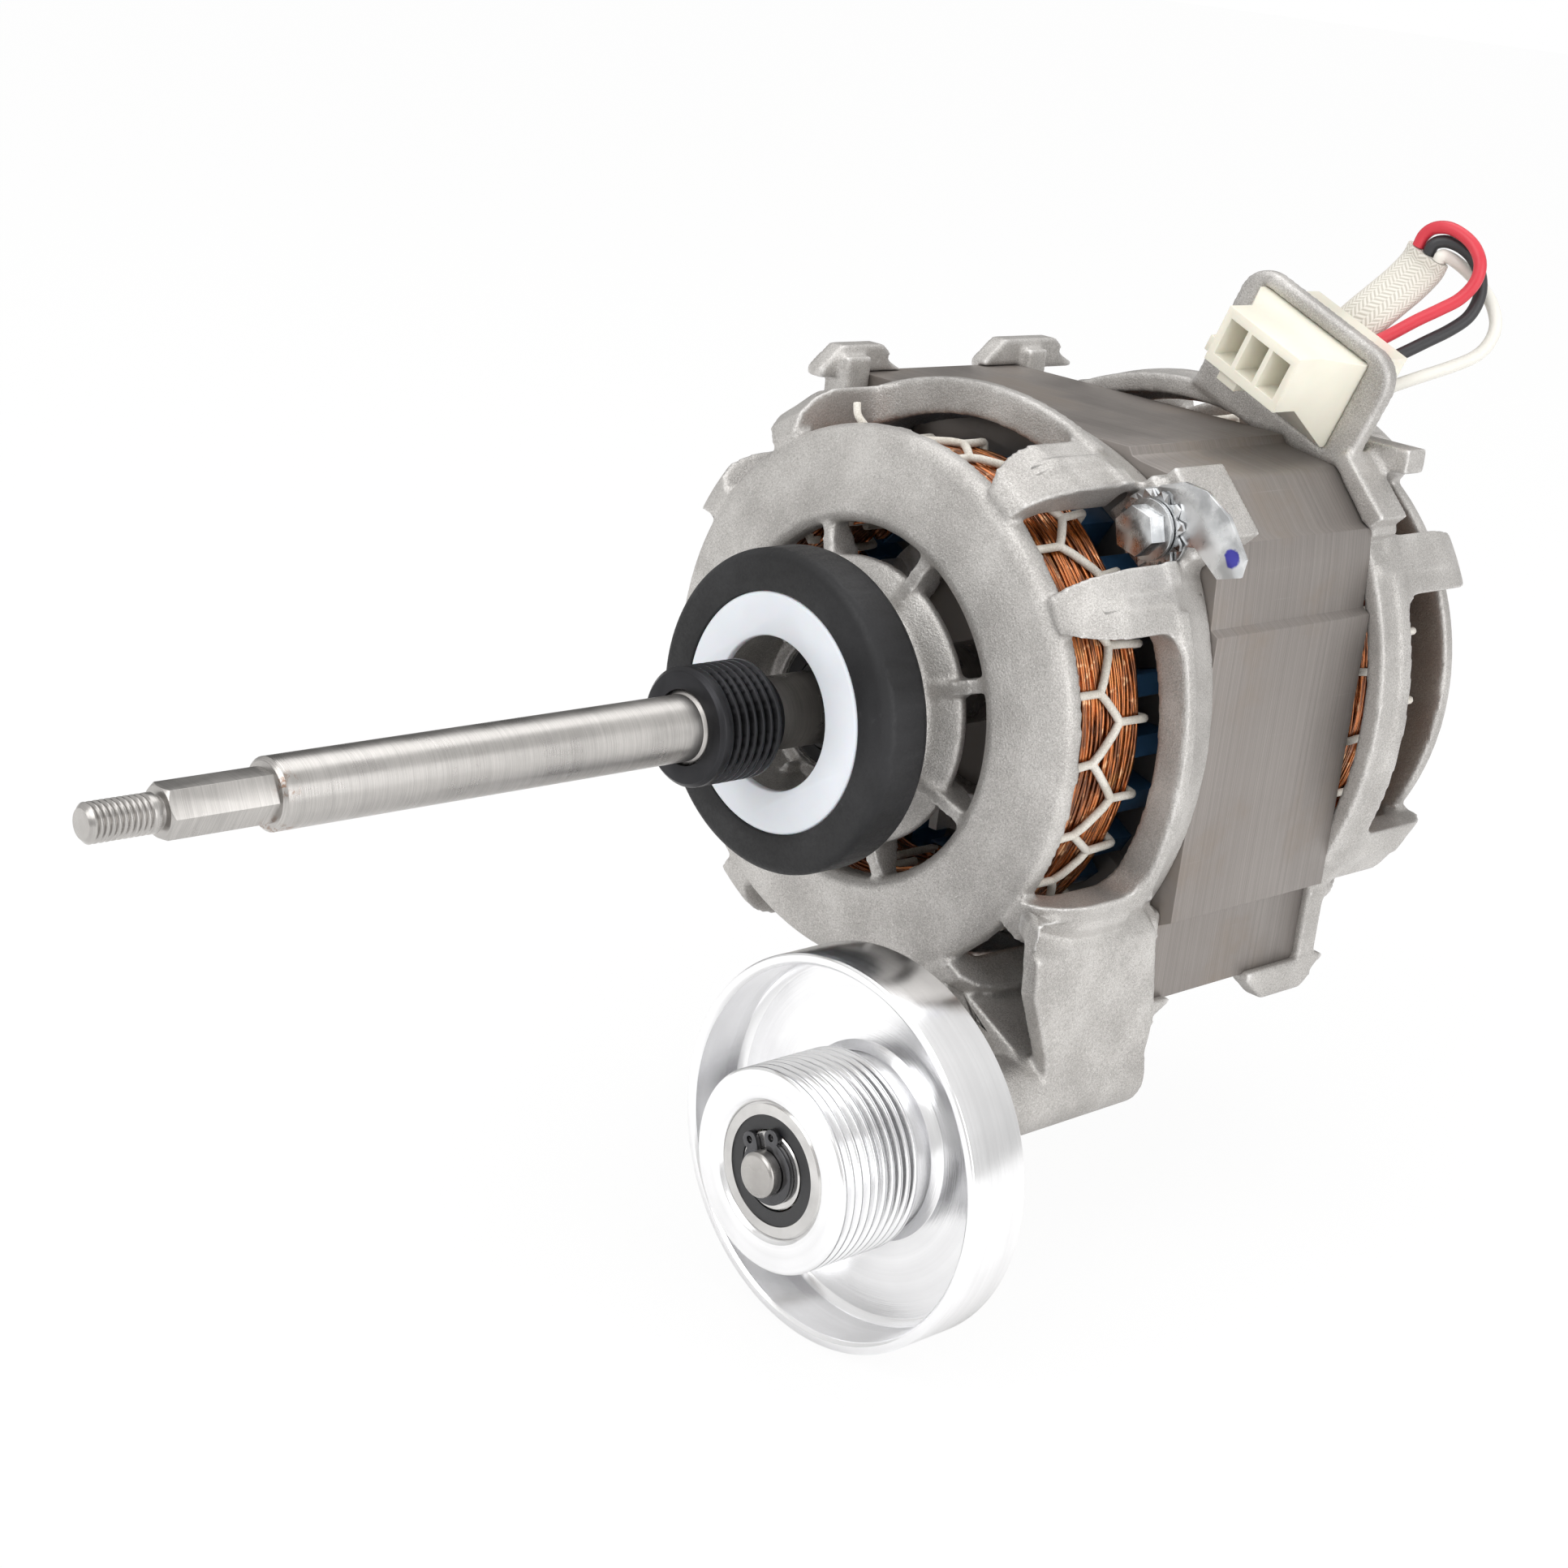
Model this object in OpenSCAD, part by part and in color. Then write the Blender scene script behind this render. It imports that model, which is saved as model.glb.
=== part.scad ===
// Tumble dryer motor: open-frame induction motor with a long fan shaft, a ribbed drive pulley,
// rubber mounting rings and a two-step belt pulley on its own axle.
// The shaft lies along Y with its threaded end at -Y, and the origin is the centre of the
// front mounting ring.

/* [Shaft] */
// Diameter of the long shaft
shaft_d = 15; // [14:0.5:15.5]
// Length of the shaft from the ring's centre to its front shoulder
shaft_front = 141.5; // [120:0.5:160]
// Width across the flats of the hexagon
hex_af = 10; // [9:0.5:11]
// Length of the hexagon
hex_len = 23.5; // [15:0.5:30]
// Diameter of the threaded tip
thread_d = 8; // [6:0.5:8]
// Length of the threaded tip
thread_len = 16; // [10:0.5:22]
// Pitch of the thread
thread_pitch = 1.25; // [1:0.25:1.5]
// Length of the shaft behind the rear bearing
shaft_stub = 5; // [2:0.5:8]
// Diameter of the shaft inside the drive pulley and the bearings
seat_d = 17; // [16.5:0.5:17.5]
// Diameter of the shaft between its bearings
shaft_body_d = 20; // [19:0.5:21]

/* [Drive pulley] */
// Diameter over the ribs of the drive pulley
drive_d = 27; // [25:0.5:30]
// Number of grooves in the drive pulley
drive_grooves = 6; // [4:1:7]
// Pitch of the ribbed belt
belt_pitch = 2.34; // [2.2:0.02:2.4]
// Depth of the belt grooves
groove_depth = 1.9; // [1.6:0.1:2.1]
// Width of the drive pulley's front rim
drive_rim = 2.9; // [1.5:0.1:4]
// Width of the drive pulley's rear rim
drive_rear_rim = 1; // [0.6:0.1:2]
// Distance from the ring's centre to the drive pulley's rear face
drive_back = 15.5; // [14:0.5:18]
// Diameter of the collar behind the drive pulley
drive_collar_d = 21; // [18:0.5:24]
// Length of the collar behind the drive pulley
drive_collar = 4; // [1:0.5:6]

/* [Mounting rings] */
// Outer diameter of the rubber rings
ring_d = 75; // [70:0.5:78]
// Width of the rubber rings
ring_w = 14; // [12:0.5:16]
// Outer diameter of the white liners
liner_d = 55.8; // [54:0.1:58]
// Inner diameter of the white liners
liner_bore = 35.6; // [35.2:0.1:37]
// Wall of the white liners
liner_wall = 2; // [1.5:0.1:2.5]
// Radius of the rubber rings' outer edges
ring_round = 3; // [1:0.5:4]
// Distance from the rear shield's face to the rear ring's centre
rear_ring = 9; // [8.5:0.5:14]

/* [Stator] */
// Height and width of the lamination stack
stack_size = 128.6; // [124:0.2:132]
// Distance from the ring's centre to the front of the stack
stack_y = 68.6; // [66:0.2:76]
// Length of the lamination stack
stack_len = 59.6; // [50:0.2:70]
// Diameter of the stator's bore
stator_bore = 78; // [74:0.5:80]
// Number of stator slots
slots = 24; // [18:2:26]
// Width of a stator slot
slot_w = 5.4; // [4:0.1:6]
// Depth of a stator slot
slot_depth = 14; // [10:0.5:15]
// Width of a slot's mouth
slot_mouth = 2.4; // [1.5:0.1:3]
// Thickness of the slot liners
paper = 0.5; // [0.3:0.1:0.6]

/* [Windings] */
// Distance from the slots' inner ends out to the bore of the end windings
coil_lift = 2; // [1.5:0.1:3]
// Thickness of the end windings from bore to rim
coil_wall = 16; // [13:0.5:16.5]
// Length of an end winding's bundle
bundle_len = 24.5; // [22:0.5:26]
// Length of the coil sides between the stack and the front bundle
front_neck = 15; // [12:0.5:16]
// Length of the coil sides between the stack and the rear bundle
rear_neck = 8; // [6:0.5:12]
// Diameter of a wound group of strands
strand_d = 2; // [1.6:0.1:2]
// Number of groups wound on the outside of an end winding
coil_loops = 13; // [8:1:14]
// Number of lacing loops round an end winding
laces = 24; // [12:12:24]
// Thickness of the lacing cord
lace_d = 1.6; // [1:0.1:2]

/* [End shields] */
// Wall of the die-cast end shields
wall = 5; // [4:0.1:6]
// Wall of the front shield at the rear edges of its windows
rim_wall = 3.3; // [2.5:0.1:5]
// How far the front shield's bulged sides stand out past the stack
front_bulge = 8.5; // [6:0.1:9]
// How far the front shield's flange stands out past the stack where they meet
front_lip = 2.7; // [2:0.1:5]
// How far the rear shield's bulged sides stand out past the stack
rear_bulge = 7.7; // [6:0.1:9]
// Radius of the bulged sides
bulge_r = 85; // [80:0.5:95]
// Depth of the front shield from the stack to its face
front_depth = 47; // [46:0.1:50]
// Depth of the rear shield from the stack to its face
rear_depth = 44.5; // [42:0.1:48]
// Distance from the end windings out to the rim of a shield's face
face_gap = 5; // [4:0.1:7]
// How far a shield's face is domed outwards at its vents
crown = 3.5; // [1:0.1:4]
// Diameter of the circle of vents round a hub
vent_d = 83; // [80:0.5:88]
// Number of spokes between the vents
spokes = 8; // [6:1:10]
// Thickness of a spoke
spoke_t = 3.4; // [2:0.1:5]
// Half of the width of a main side window
window_half = 31; // [28:0.5:33]
// Width of a corner window
corner_window = 20; // [16:0.5:22]
// Width of the front shield's flange
front_flange = 17.5; // [14:0.1:20]
// Width of the rear shield's flange
rear_flange = 11.8; // [11:0.1:16]
// Radius of the windows' corners
window_round = 6; // [3:0.5:8]
// Height of the ridges and beads on the shields
bead = 1.2; // [0.6:0.1:2]
// Thickness of the hooks that lap over the stack
hook_t = 5.4; // [4:0.1:7]

/* [Shaft bearings] */
// Outer diameter of the shaft bearings
bearing_d = 35; // [34:0.5:35]
// Width of the shaft bearings
bearing_w = 10; // [9:0.5:11]
// Ball diameter of the shaft bearings
ball_d = 4.76; // [4.4:0.04:4.8]
// Number of balls in a shaft bearing
balls = 9; // [7:1:10]

/* [Bolts] */
// Diameter of the through bolts
bolt_d = 6; // [5:0.5:6]
// Distance of the bolts from the stack's cut corners
bolt_inset = 5.2; // [4.8:0.1:6]
// Width across the flats of the bolt heads and nuts
bolt_af = 10; // [9:0.5:11]
// Thickness of the bolt heads and nuts
bolt_head = 4.6; // [4:0.2:6]
// Diameter of the flange under a bolt head
bolt_flange = 14; // [12:0.5:15]
// Diameter of the star washers
washer_d = 18.4; // [15:0.2:19]
// Thickness of the star washers
washer_t = 1.4; // [1:0.1:2]
// Thickness of the shields' bolt lugs
lug_t = 10; // [7:0.5:11]
// Thickness of the earth tab
tab_t = 1.2; // [0.8:0.1:1.6]

/* [Step pulley] */
// Sideways position of the step pulley's axle
step_x = 56.5; // [54:0.5:60]
// Height of the step pulley's axle
step_z = -80; // [-84:0.5:-79]
// Distance from the ring's centre to the step pulley's front face
step_face = 48.1; // [46:0.1:56]
// Diameter of the step pulley's axle
axle_d = 10; // [9:0.5:10.5]
// Length of the axle in front of the step pulley
axle_tip = 3.9; // [2.5:0.1:6]
// Diameter of the boss that holds the axle
boss_d = 19; // [17:0.5:22]
// Diameter of the large drum
drum_d = 88; // [84:0.5:90]
// Width of the large drum
drum_w = 17.2; // [14:0.2:18]
// Wall of the large drum
drum_wall = 2.6; // [2:0.1:4]
// Thickness of the drum's web
drum_web = 3; // [2:0.1:4]
// Diameter over the ribs of the small pulley
small_d = 45; // [42:0.5:50]
// Number of grooves in the small pulley
small_grooves = 9; // [7:1:9]
// Width of the small pulley's rims
small_rim = 0.9; // [0.6:0.1:1.5]
// Diameter of the step pulley's hub inside the drum
hub_d = 41; // [38:0.5:41]
// Outer diameter of the step pulley's bearings
step_bearing_d = 30; // [29:0.5:31]
// Width of the step pulley's bearings
step_bearing_w = 9; // [8:0.5:9.5]
// Depth of the bearings inside the step pulley's ends
bearing_recess = 0.6; // [0.3:0.1:1.5]
// Ball diameter of the step pulley's bearings
step_ball_d = 4.76; // [4.4:0.04:4.8]
// Number of balls in a step pulley's bearing
step_balls = 7; // [6:1:8]

/* [Connector] */
// Turn of the connector plate round the shaft from upright
plate_turn = 21.5; // [18:0.5:25]
// Width of the connector plate
plate_w = 50; // [46:0.5:54]
// Distance from the shaft to the connector plate's outer edge
plate_r = 102.5; // [101:0.5:106]
// Thickness of the connector plate
plate_t = 4.5; // [3:0.5:6]
// Width of the plate's window
plate_window = 36; // [32:0.5:38]
// Width of the rim beside the plate's window
plate_rim = 4; // [3:0.1:5]
// Width of the connector housing's mouth
housing_w = 24; // [22:0.5:26]
// Height of the connector housing's mouth
housing_h = 14.6; // [13.5:0.1:16]
// Length of the connector housing in front of the plate
housing_front = 22; // [16:0.5:26]
// Length of the connector housing behind the plate
housing_rear = 11.5; // [9:0.5:13]
// Width of a connector cavity
cavity_w = 5.8; // [5:0.1:6]
// Height of a connector cavity
cavity_h = 9.6; // [8:0.1:10]
// Depth of a connector cavity
cavity_depth = 18; // [15:0.5:20]
// Width of a contact blade
blade_w = 4.8; // [3:0.1:5]
// Thickness of a contact blade
blade_t = 0.8; // [0.5:0.1:1]
// Length of a contact blade
blade_len = 9; // [6:0.5:11]
// Diameter of the lead wires
wire_d = 3.2; // [2.4:0.1:3.2]
// Width of the flattened sleeve over the wires
sleeve_w = 11; // [9:0.5:13]
// Thickness of the flattened sleeve over the wires
sleeve_t = 4.6; // [4:0.1:6]

/* [Rotor] */
// Number of bars in the rotor's cage
bars = 28; // [20:1:32]
// Diameter of a rotor bar
bar_d = 4.4; // [3.5:0.1:5]
// Height of the cage's end rings
end_ring = 8; // [6:0.5:9]
// Number of cooling fins on an end ring
fins = 14; // [8:1:18]
// Length of a cooling fin
fin_len = 7; // [4:0.5:8]

/* [Fits] */
// Radial clearance of a running fit
run_gap = 0.05; // [0.02:0.01:0.08]
// Radial clearance drawn at a pressed seat
press_gap = 0.02; // [0.01:0.01:0.04]
// Clearance between parts that are seated together
seat_gap = 0.1; // [0.05:0.05:0.2]
// Gap between curved parts that turn past each other
turn_gap = 0.4; // [0.3:0.05:0.6]

/* [Hidden] */
fine = 96;
medium = 48;
coarse = 24;

// Colours of the materials
cast_col = [0.72, 0.71, 0.69];
steel_col = [0.62, 0.61, 0.6];
lamination_col = [0.58, 0.56, 0.54];
copper_col = [0.66, 0.36, 0.16];
cord_col = [0.93, 0.91, 0.86];
paper_col = [0.12, 0.3, 0.55];
rubber_col = [0.13, 0.13, 0.14];
liner_col = [0.88, 0.89, 0.91];
zinc_col = [0.8, 0.81, 0.82];
nylon_col = [0.93, 0.91, 0.83];
bright_col = [0.86, 0.87, 0.88];
black_col = [0.1, 0.1, 0.11];
red_col = [0.8, 0.16, 0.18];
sleeve_col = [0.86, 0.84, 0.79];

// Thickness of the spring washer and of the circlips
spring_t = 1;
clip_t = 1.2;

// How far the shaft's step starts in front of the drive pulley
step_out = 0.3;

// Stations along the shaft
stack_end = stack_y + stack_len;
face_y = stack_y - front_depth;
rear_face_y = stack_end + rear_depth;
rear_ring_y = rear_face_y + rear_ring;
front_bearing_y = face_y - 9;
rear_bearing_y = rear_face_y - 14;
rear_seat_y = rear_bearing_y + bearing_w + spring_t;

// How far the corner windows reach past the front of the bolt lugs
lug_step = 0.8;

// Stack outline
half = stack_size / 2;
corner_r = (half - 10.4) * sqrt(2);
bolt_r = corner_r - bolt_inset;
long_corner = half - 4.9;
stack_side = [
    [half - 33.3, half], [half - 32, half - 1.9], [half - 29.3, half - 2.6],
    [half - 16.3, half - 4.2], [half - 15.1, half - 5.1], [half - 5.7, half - 15.6],
    [half - 3.7, half - 16.5], [half - 2.9, half - 23.3], [half - 2.2, half - 35.8],
    [half, half - 37.1], [half, 22.2 - half], [long_corner, 19.8 - half], [long_corner, -half]
];
stack_outline = concat(stack_side, [for (p = stack_side) -p]);

// Slots and windings
slot_in = stator_bore / 2 + 2;
coil_in = slot_in + coil_lift;
coil_r = coil_in + coil_wall;
face_r = coil_r + face_gap;
lug_in = coil_r + lace_d + 4 * seat_gap;
front_coil_y = stack_y - front_neck - bundle_len;
rear_coil_y = stack_end + rear_neck + bundle_len;
front_paper = front_neck - 3;
rear_paper = rear_neck - 2;
loop_steps = 24;
strand_sides = 6;
strand_pitch = strand_d + 0.5;
strand_round = 3.5;
strand_run = bundle_len - strand_d - strand_round;
strand_bend = strand_round * PI / 2;
core_inset = strand_d + coil_r * (1 - cos(180 / loop_steps)) + 0.2;

// Shaft bearing and step pulley bearing sizes
pitch_r = (bearing_d + seat_d) / 4;
step_pitch_r = (step_bearing_d + axle_d) / 4;
land = 0.3;
seal_land = 0.46;

// Drive pulley and step pulley stations
drive_front = -drive_back - drive_rear_rim - drive_grooves * belt_pitch - drive_rim;
drum_mid = -drive_back - drive_rear_rim - drive_grooves * belt_pitch / 2;
drum_front = drum_mid - drum_w / 2;
drum_back = drum_mid + drum_w / 2;
step_front = -step_face;
small_end = step_front + small_grooves * belt_pitch + 2 * small_rim;
step_bearing_front = step_front + bearing_recess;
step_bearing_rear = drum_back - bearing_recess - step_bearing_w;
step_starts = [step_bearing_front, step_bearing_rear];
boss_front = drum_back + 2.5;
boss_back = stack_y - 2.5;

// Connector stations, in a frame whose Z points outwards through the plate
plate_y = stack_end - 1;
window_low = half + rear_bulge + 3;
window_high = plate_r - plate_rim;
housing_x = 1.2;
housing_top = window_high - 0.3;
housing_y = plate_y - housing_front;
housing_end = plate_y + plate_t + housing_rear;
cavity_z = housing_top - housing_h / 2;
cavities = [housing_x - 7.2, housing_x, housing_x + 7.2];
wire_exit = housing_end - 1.5;
sleeve_mouth = [-3, 163, 116.5];

// Turns a shape round the shaft, from +X towards +Z
module spin(a) {
    rotate([0, -a, 0]) children();
}

// Cylinder along Y from y0 to y1
module rod(y0, y1, d, x = 0, z = 0, sides = fine) {
    translate([x, y0, z]) rotate([-90, 0, 0]) cylinder(h = y1 - y0, d = d, $fn = sides);
}

// Ring along Y with an outer and an inner diameter
module collar(y0, y1, d_out, d_in, x = 0, z = 0) {
    difference() {
        rod(y0, y1, d_out, x, z);
        rod(y0 - 1, y1 + 1, d_in, x, z);
    }
}

// Solid turned about an axis along Y from points of radius and Y
module lathe(points, x = 0, z = 0) {
    translate([x, 0, z]) rotate([-90, 0, 0]) rotate_extrude($fn = fine) polygon(points);
}

// Extrudes an XZ outline from y0 to y1
module slab(y0, y1) {
    translate([0, y1, 0]) rotate([90, 0, 0]) linear_extrude(y1 - y0) children();
}

// Box between a low and a high corner
module block(low, high) {
    translate(low) cube(high - low);
}

// Tube along a path: every ring is square to the path, and the reference is never along it
function unit(v) = v / norm(v);
function path_dir(path, i) = unit(path[min(i + 1, len(path) - 1)] - path[max(i - 1, 0)]);
function ring_points(path, i, r1, r2, sides, ref) =
    let (t = path_dir(path, i), u = unit(cross(t, ref)), v = cross(t, u))
    [for (k = [0:sides - 1])
        path[i] + u * r1 * cos(360 * k / sides) + v * r2 * sin(360 * k / sides)];
function side_faces(n, sides) = [
    for (i = [0:n - 2], k = [0:sides - 1])
        let (a = i * sides + k, b = i * sides + (k + 1) % sides)
        each [[a, a + sides, b], [b, a + sides, b + sides]]
];
function cap_faces(n, sides) = [
    for (k = [1:sides - 2])
        each [[0, k, k + 1], [(n - 1) * sides, (n - 1) * sides + k + 1, (n - 1) * sides + k]]
];
module tube(path, r1, r2, sides, ref) {
    n = len(path);
    points = [for (i = [0:n - 1]) each ring_points(path, i, r1, r2, sides, ref)];
    polyhedron(points, concat(side_faces(n, sides), cap_faces(n, sides)), convexity = 10);
}

// Bulged square bar: four shallow arcs that meet at the corners, with half widths of side at y0
// and of end at y1
module bulged(y0, y1, side, end) {
    intersection_for (a = [0:90:270]) {
        spin(a) translate([end - bulge_r, y0, 0]) rotate([-90, 0, 0]) {
            cylinder(h = y1 - y0, r1 = bulge_r + side - end, r2 = bulge_r, $fn = fine);
        }
    }
}

// Cutter for a side window that faces +X, from y0 to y1 and as wide as w
module window(y0, y1, w) {
    r = window_round;
    translate([40, 0, 0]) rotate([90, 0, 90]) linear_extrude(50) union() {
        translate([y0 + r, -w / 2]) square([y1 - y0 - 2 * r, w]);
        translate([y0, r - w / 2]) square([y1 - y0, w - 2 * r]);
        for (y = [y0 + r, y1 - r], z = [r - w / 2, w / 2 - r]) {
            translate([y, z]) circle(r, $fn = medium);
        }
    }
}

// Domed face ring of a shield, with its front edge at y = 0
module face_ring() {
    vent_r = vent_d / 2;
    lathe([
        [vent_r, 0.8 - crown / 2], [vent_r + 0.7, 1.2 - crown], [vent_r + 2.4, -crown],
        [face_r - 3, -0.5], [face_r - 1, 0.3], [face_r - 0.2, 1.4], [face_r, 3],
        [face_r, wall], [vent_r, wall - crown / 2]
    ]);
}

// Bridges between the windows: a sleeve that follows the bulged outline, cut by every window
module bridges(side, depth, flange) {
    difference() {
        intersection() {
            bulged(0, depth - flange + 3, side, side);
            lathe([
                [face_r - 3, 0.8], [face_r + 1, 0], [face_r + 5, 1.6], [face_r + 8, 6],
                [face_r + 10, 13], [face_r + 12, depth - flange + 3], [face_r + 1, depth - flange + 3],
                [face_r + 1, wall + 5], [face_r - 3, wall]
            ]);
        }
        for (a = [0:90:270]) {
            spin(a) {
                window(wall - 1, depth - flange, 2 * window_half);
                block([40, -1, -window_half], [90, wall + 5, window_half]);
            }
            spin(a + 45) {
                window(wall - 1, depth - lug_t + lug_step, corner_window);
                block([40, -1, -corner_window / 2], [90, wall + 5, corner_window / 2]);
            }
        }
    }
}

// Ridges along the outside of the bridges
module bridge_ridges(side, depth) {
    lean = (45 + asin(window_half / face_r) - asin(corner_window / 2 / face_r)) / 2;
    for (a = [0:90:270], s = [-1, 1]) {
        spin(a + s * (lean - 1.5)) {
            translate([side - 5, 7, -1.5]) cube([6.2 + bead, depth - 9, 3]);
        }
    }
}

// Flange that clamps the stack, with a bead along its window edge; lip is its half width at the
// stack, and rim its wall at the windows
module flange_ring(side, depth, flange, lip, rim) {
    difference() {
        union() {
            bulged(depth - flange, depth, side, lip);
            bulged(depth - flange, depth - flange + 4, side + bead / 2, side + bead / 2);
        }
        bulged(depth - flange - 1, depth + 1, side - rim, lip - wall);
        for (a = [45:90:315]) {
            spin(a) block([40, depth - flange - 1, -corner_window / 2],
                [90, depth - lug_t + lug_step, corner_window / 2]);
        }
    }
}

// Whole shell of a shield with its face at y = 0 and its flange at y = depth
module shield_shell(bulge, depth, flange, lip, rim) {
    side = half + bulge;
    face_ring();
    bridges(side, depth, flange);
    bridge_ridges(side, depth);
    flange_ring(side, depth, flange, half + lip, rim);
}

// Bolt lugs inside a shield's corners
module bolt_lugs(y0, y1) {
    for (a = [45:90:315]) {
        spin(a) intersection() {
            block([lug_in, y0, -corner_window / 2 - 1], [corner_r + 2, y1, corner_window / 2 + 1]);
            rod(y0, y1, 2 * (corner_r + 1));
        }
    }
}

// Holes through the bolt lugs, and the stack's own outline to be kept clear
module bolt_holes(y0, y1) {
    for (a = [45:90:315]) {
        spin(a) rod(y0, y1, bolt_d + 4 * seat_gap, bolt_r, 0, medium);
    }
}
module stack_space(y0, y1) {
    scale_up = 1 + seat_gap / half;
    slab(y0, y1) polygon([for (p = stack_outline) p * scale_up]);
}

// Hooks that lap over the stack's cut corners
module short_hooks(y0, y1) {
    for (a = [45, 225]) {
        spin(a) block([corner_r - 1, y0, -9.5], [corner_r + hook_t, y1, 9.5]);
    }
}

// Hook that laps over one of the stack's long corners, drawn at +X and -Z, and the strip from s0
// to s1 that carries it beside the stack's end
module long_hook(y0, y1, s0, s1) {
    low = -half - hook_t - 1.6;
    inner = long_corner - 3;
    outer = long_corner + 2.6;
    translate([inner, 0, 0]) rotate([90, 0, 90]) linear_extrude(outer - inner) polygon([
        [y0, 1 - half], [y0, -half - 1.5], [y0 + 7, low], [y1 - 8, low], [y1 - 4.4, low + 2.5],
        [y1 - 6.6, low + 3.6], [y1, -half - 0.2], [y1, 1 - half]
    ]);
    block([inner - 3, s0, low + 2.4], [outer - 0.6, s1, 24 - half]);
}

// Hub: spigot for the mounting ring, a lip and the bearing seat behind it, and a flared skirt
module hub(spigot, seat, seat_end, neck) {
    mouth = liner_bore / 2 + 0.9;
    spigot_r = liner_d / 2 - liner_wall - seat_gap;
    lathe(concat(
        [[mouth, spigot], [spigot_r, spigot], [spigot_r, neck[0][1]]], neck,
        [
            [22, seat_end], [bearing_d / 2 + press_gap, seat_end], [bearing_d / 2 + press_gap, seat],
            [15.5, seat], [15.5, seat - 1.8], [mouth, seat - 1.8]
        ]
    ));
    for (a = [10:60:310]) {
        spin(a) block([16.2, seat - 7, -0.8], [mouth + 0.5, seat - 1, 0.8]);
    }
}

// Spokes from the hub's skirt to the face; front is where their front edges meet the skirt
module hub_spokes(front) {
    outer = vent_d / 2 + 1.5;
    for (k = [0:spokes - 1]) {
        spin(20.5 + k * 360 / spokes) translate([0, 0, -spoke_t / 2]) linear_extrude(spoke_t) polygon([
            [28, front], [outer, 1.5 - crown], [outer, 3], [34, 5.5], [23, 2.5]
        ]);
    }
}

// Front shield with the bracket that carries the step pulley's axle
module front_end_shield() {
    stop = ring_w / 2 + 1;
    color(cast_col) difference() {
        union() {
            translate([0, face_y, 0]) {
                shield_shell(front_bulge, front_depth, front_flange, front_lip, rim_wall);
                hub_spokes(-5);
            }
            bolt_lugs(stack_y - lug_t, stack_y);
            short_hooks(stack_y - 8, stack_y + 10);
            long_hook(stack_y - 9, stack_y + 8, stack_y - 8.6, stack_y);
            spin(180) long_hook(stack_y - 14.6, stack_y + 14.6, stack_y - 8.6, stack_y);
            hub(liner_wall + seat_gap - ring_w / 2, front_bearing_y, front_bearing_y + bearing_w + 1.5, [
                [31, stop], [31, stop + 2.5], [27, stop + 5], [27, face_y - 5], [34, face_y - 1.5],
                [34, face_y + 0.8], [25, face_y + 2.5]
            ]);
            axle_bracket();
        }
        bolt_holes(stack_y - lug_t - 1, stack_y + 1);
        rod(boss_front - 1, boss_back + 1, axle_d + 2 * press_gap, step_x, step_z);
        stack_space(stack_y, stack_y + 30);
    }
}

// Webs and boss below the front shield
module axle_bracket() {
    rod(boss_front, boss_back, boss_d, step_x, step_z);
    web_x = bolt_r * sin(45) + washer_d / 2 + seat_gap;
    translate([web_x, 0, 0]) rotate([90, 0, 90]) linear_extrude(wall) polygon([
        [face_y - 1, 30 - half], [face_y + 1, 12 - half], [face_y + 8, step_z + 12],
        [face_y + 10, step_z],
        [boss_back, step_z], [boss_back + 2, step_z + 14], [stack_y - 5, 22 - half],
        [stack_y - 9, 32 - half]
    ]);
    slab(face_y + 6, boss_back) polygon([
        [half - 33, 1 - half], [half - 27, 5 - half], [step_x + 4, step_z + 9],
        [step_x - 8, step_z + 4]
    ]);
}

// Rear shield with the plate that holds the connector
module rear_end_shield() {
    stop = ring_w / 2 + 1 - rear_ring;
    color(cast_col) difference() {
        union() {
            translate([0, rear_face_y, 0]) mirror([0, 1, 0]) {
                shield_shell(rear_bulge, rear_depth, rear_flange, rear_bulge, wall);
                hub_spokes(-0.3);
                hub(liner_wall + seat_gap - ring_w / 2 - rear_ring, rear_face_y - rear_seat_y,
                    rear_face_y - rear_bearing_y + 1.5,
                    [[31, stop], [34, stop + 1], [34, 1], [25, 3]]);
            }
            bolt_lugs(stack_end, stack_end + lug_t);
            short_hooks(stack_end - 2, stack_end + lug_t - 1);
            long_hook(stack_end - 20.7, stack_end + 10.3, stack_end, stack_end + 7);
            spin(180) long_hook(stack_end - 13.7, stack_end + 21.3, stack_end, stack_end + 7);
            block([half - 22, stack_end + 8, half - 4], [half - 2.5, stack_end + 16, half + 2]);
            connector_plate();
        }
        bolt_holes(stack_end - 1, stack_end + lug_t + 1);
        stack_space(stack_end - 30, stack_end);
    }
}

// Turns the connector's own frame, whose Z points outwards, to its place round the shaft
module at_plate() {
    rotate([0, plate_turn, 0]) children();
}
function plate_point(p) = [
    p[0] * cos(plate_turn) + p[2] * sin(plate_turn), p[1],
    p[2] * cos(plate_turn) - p[0] * sin(plate_turn)
];

// Plate with the connector's window, cast on the rear shield's flange
module connector_plate() {
    r = 8;
    foot = half + rear_bulge - 5;
    at_plate() difference() {
        slab(plate_y, plate_y + plate_t) union() {
            translate([-plate_w / 2, foot]) square([plate_w, plate_r - r - foot]);
            translate([r - plate_w / 2, foot]) square([plate_w - 2 * r, plate_r - foot]);
            for (x = [r - plate_w / 2, plate_w / 2 - r]) {
                translate([x, plate_r - r]) circle(r, $fn = medium);
            }
        }
        block([-plate_window / 2 - 1, plate_y - 1, window_low],
            [plate_window / 2 - 1, plate_y + plate_t + 1, window_high]);
    }
    at_plate() slab(stack_end, plate_y + plate_t) difference() {
        translate([-plate_w / 2, foot]) square([plate_w, 6]);
        circle(half + 1, $fn = fine);
    }
}

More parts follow.
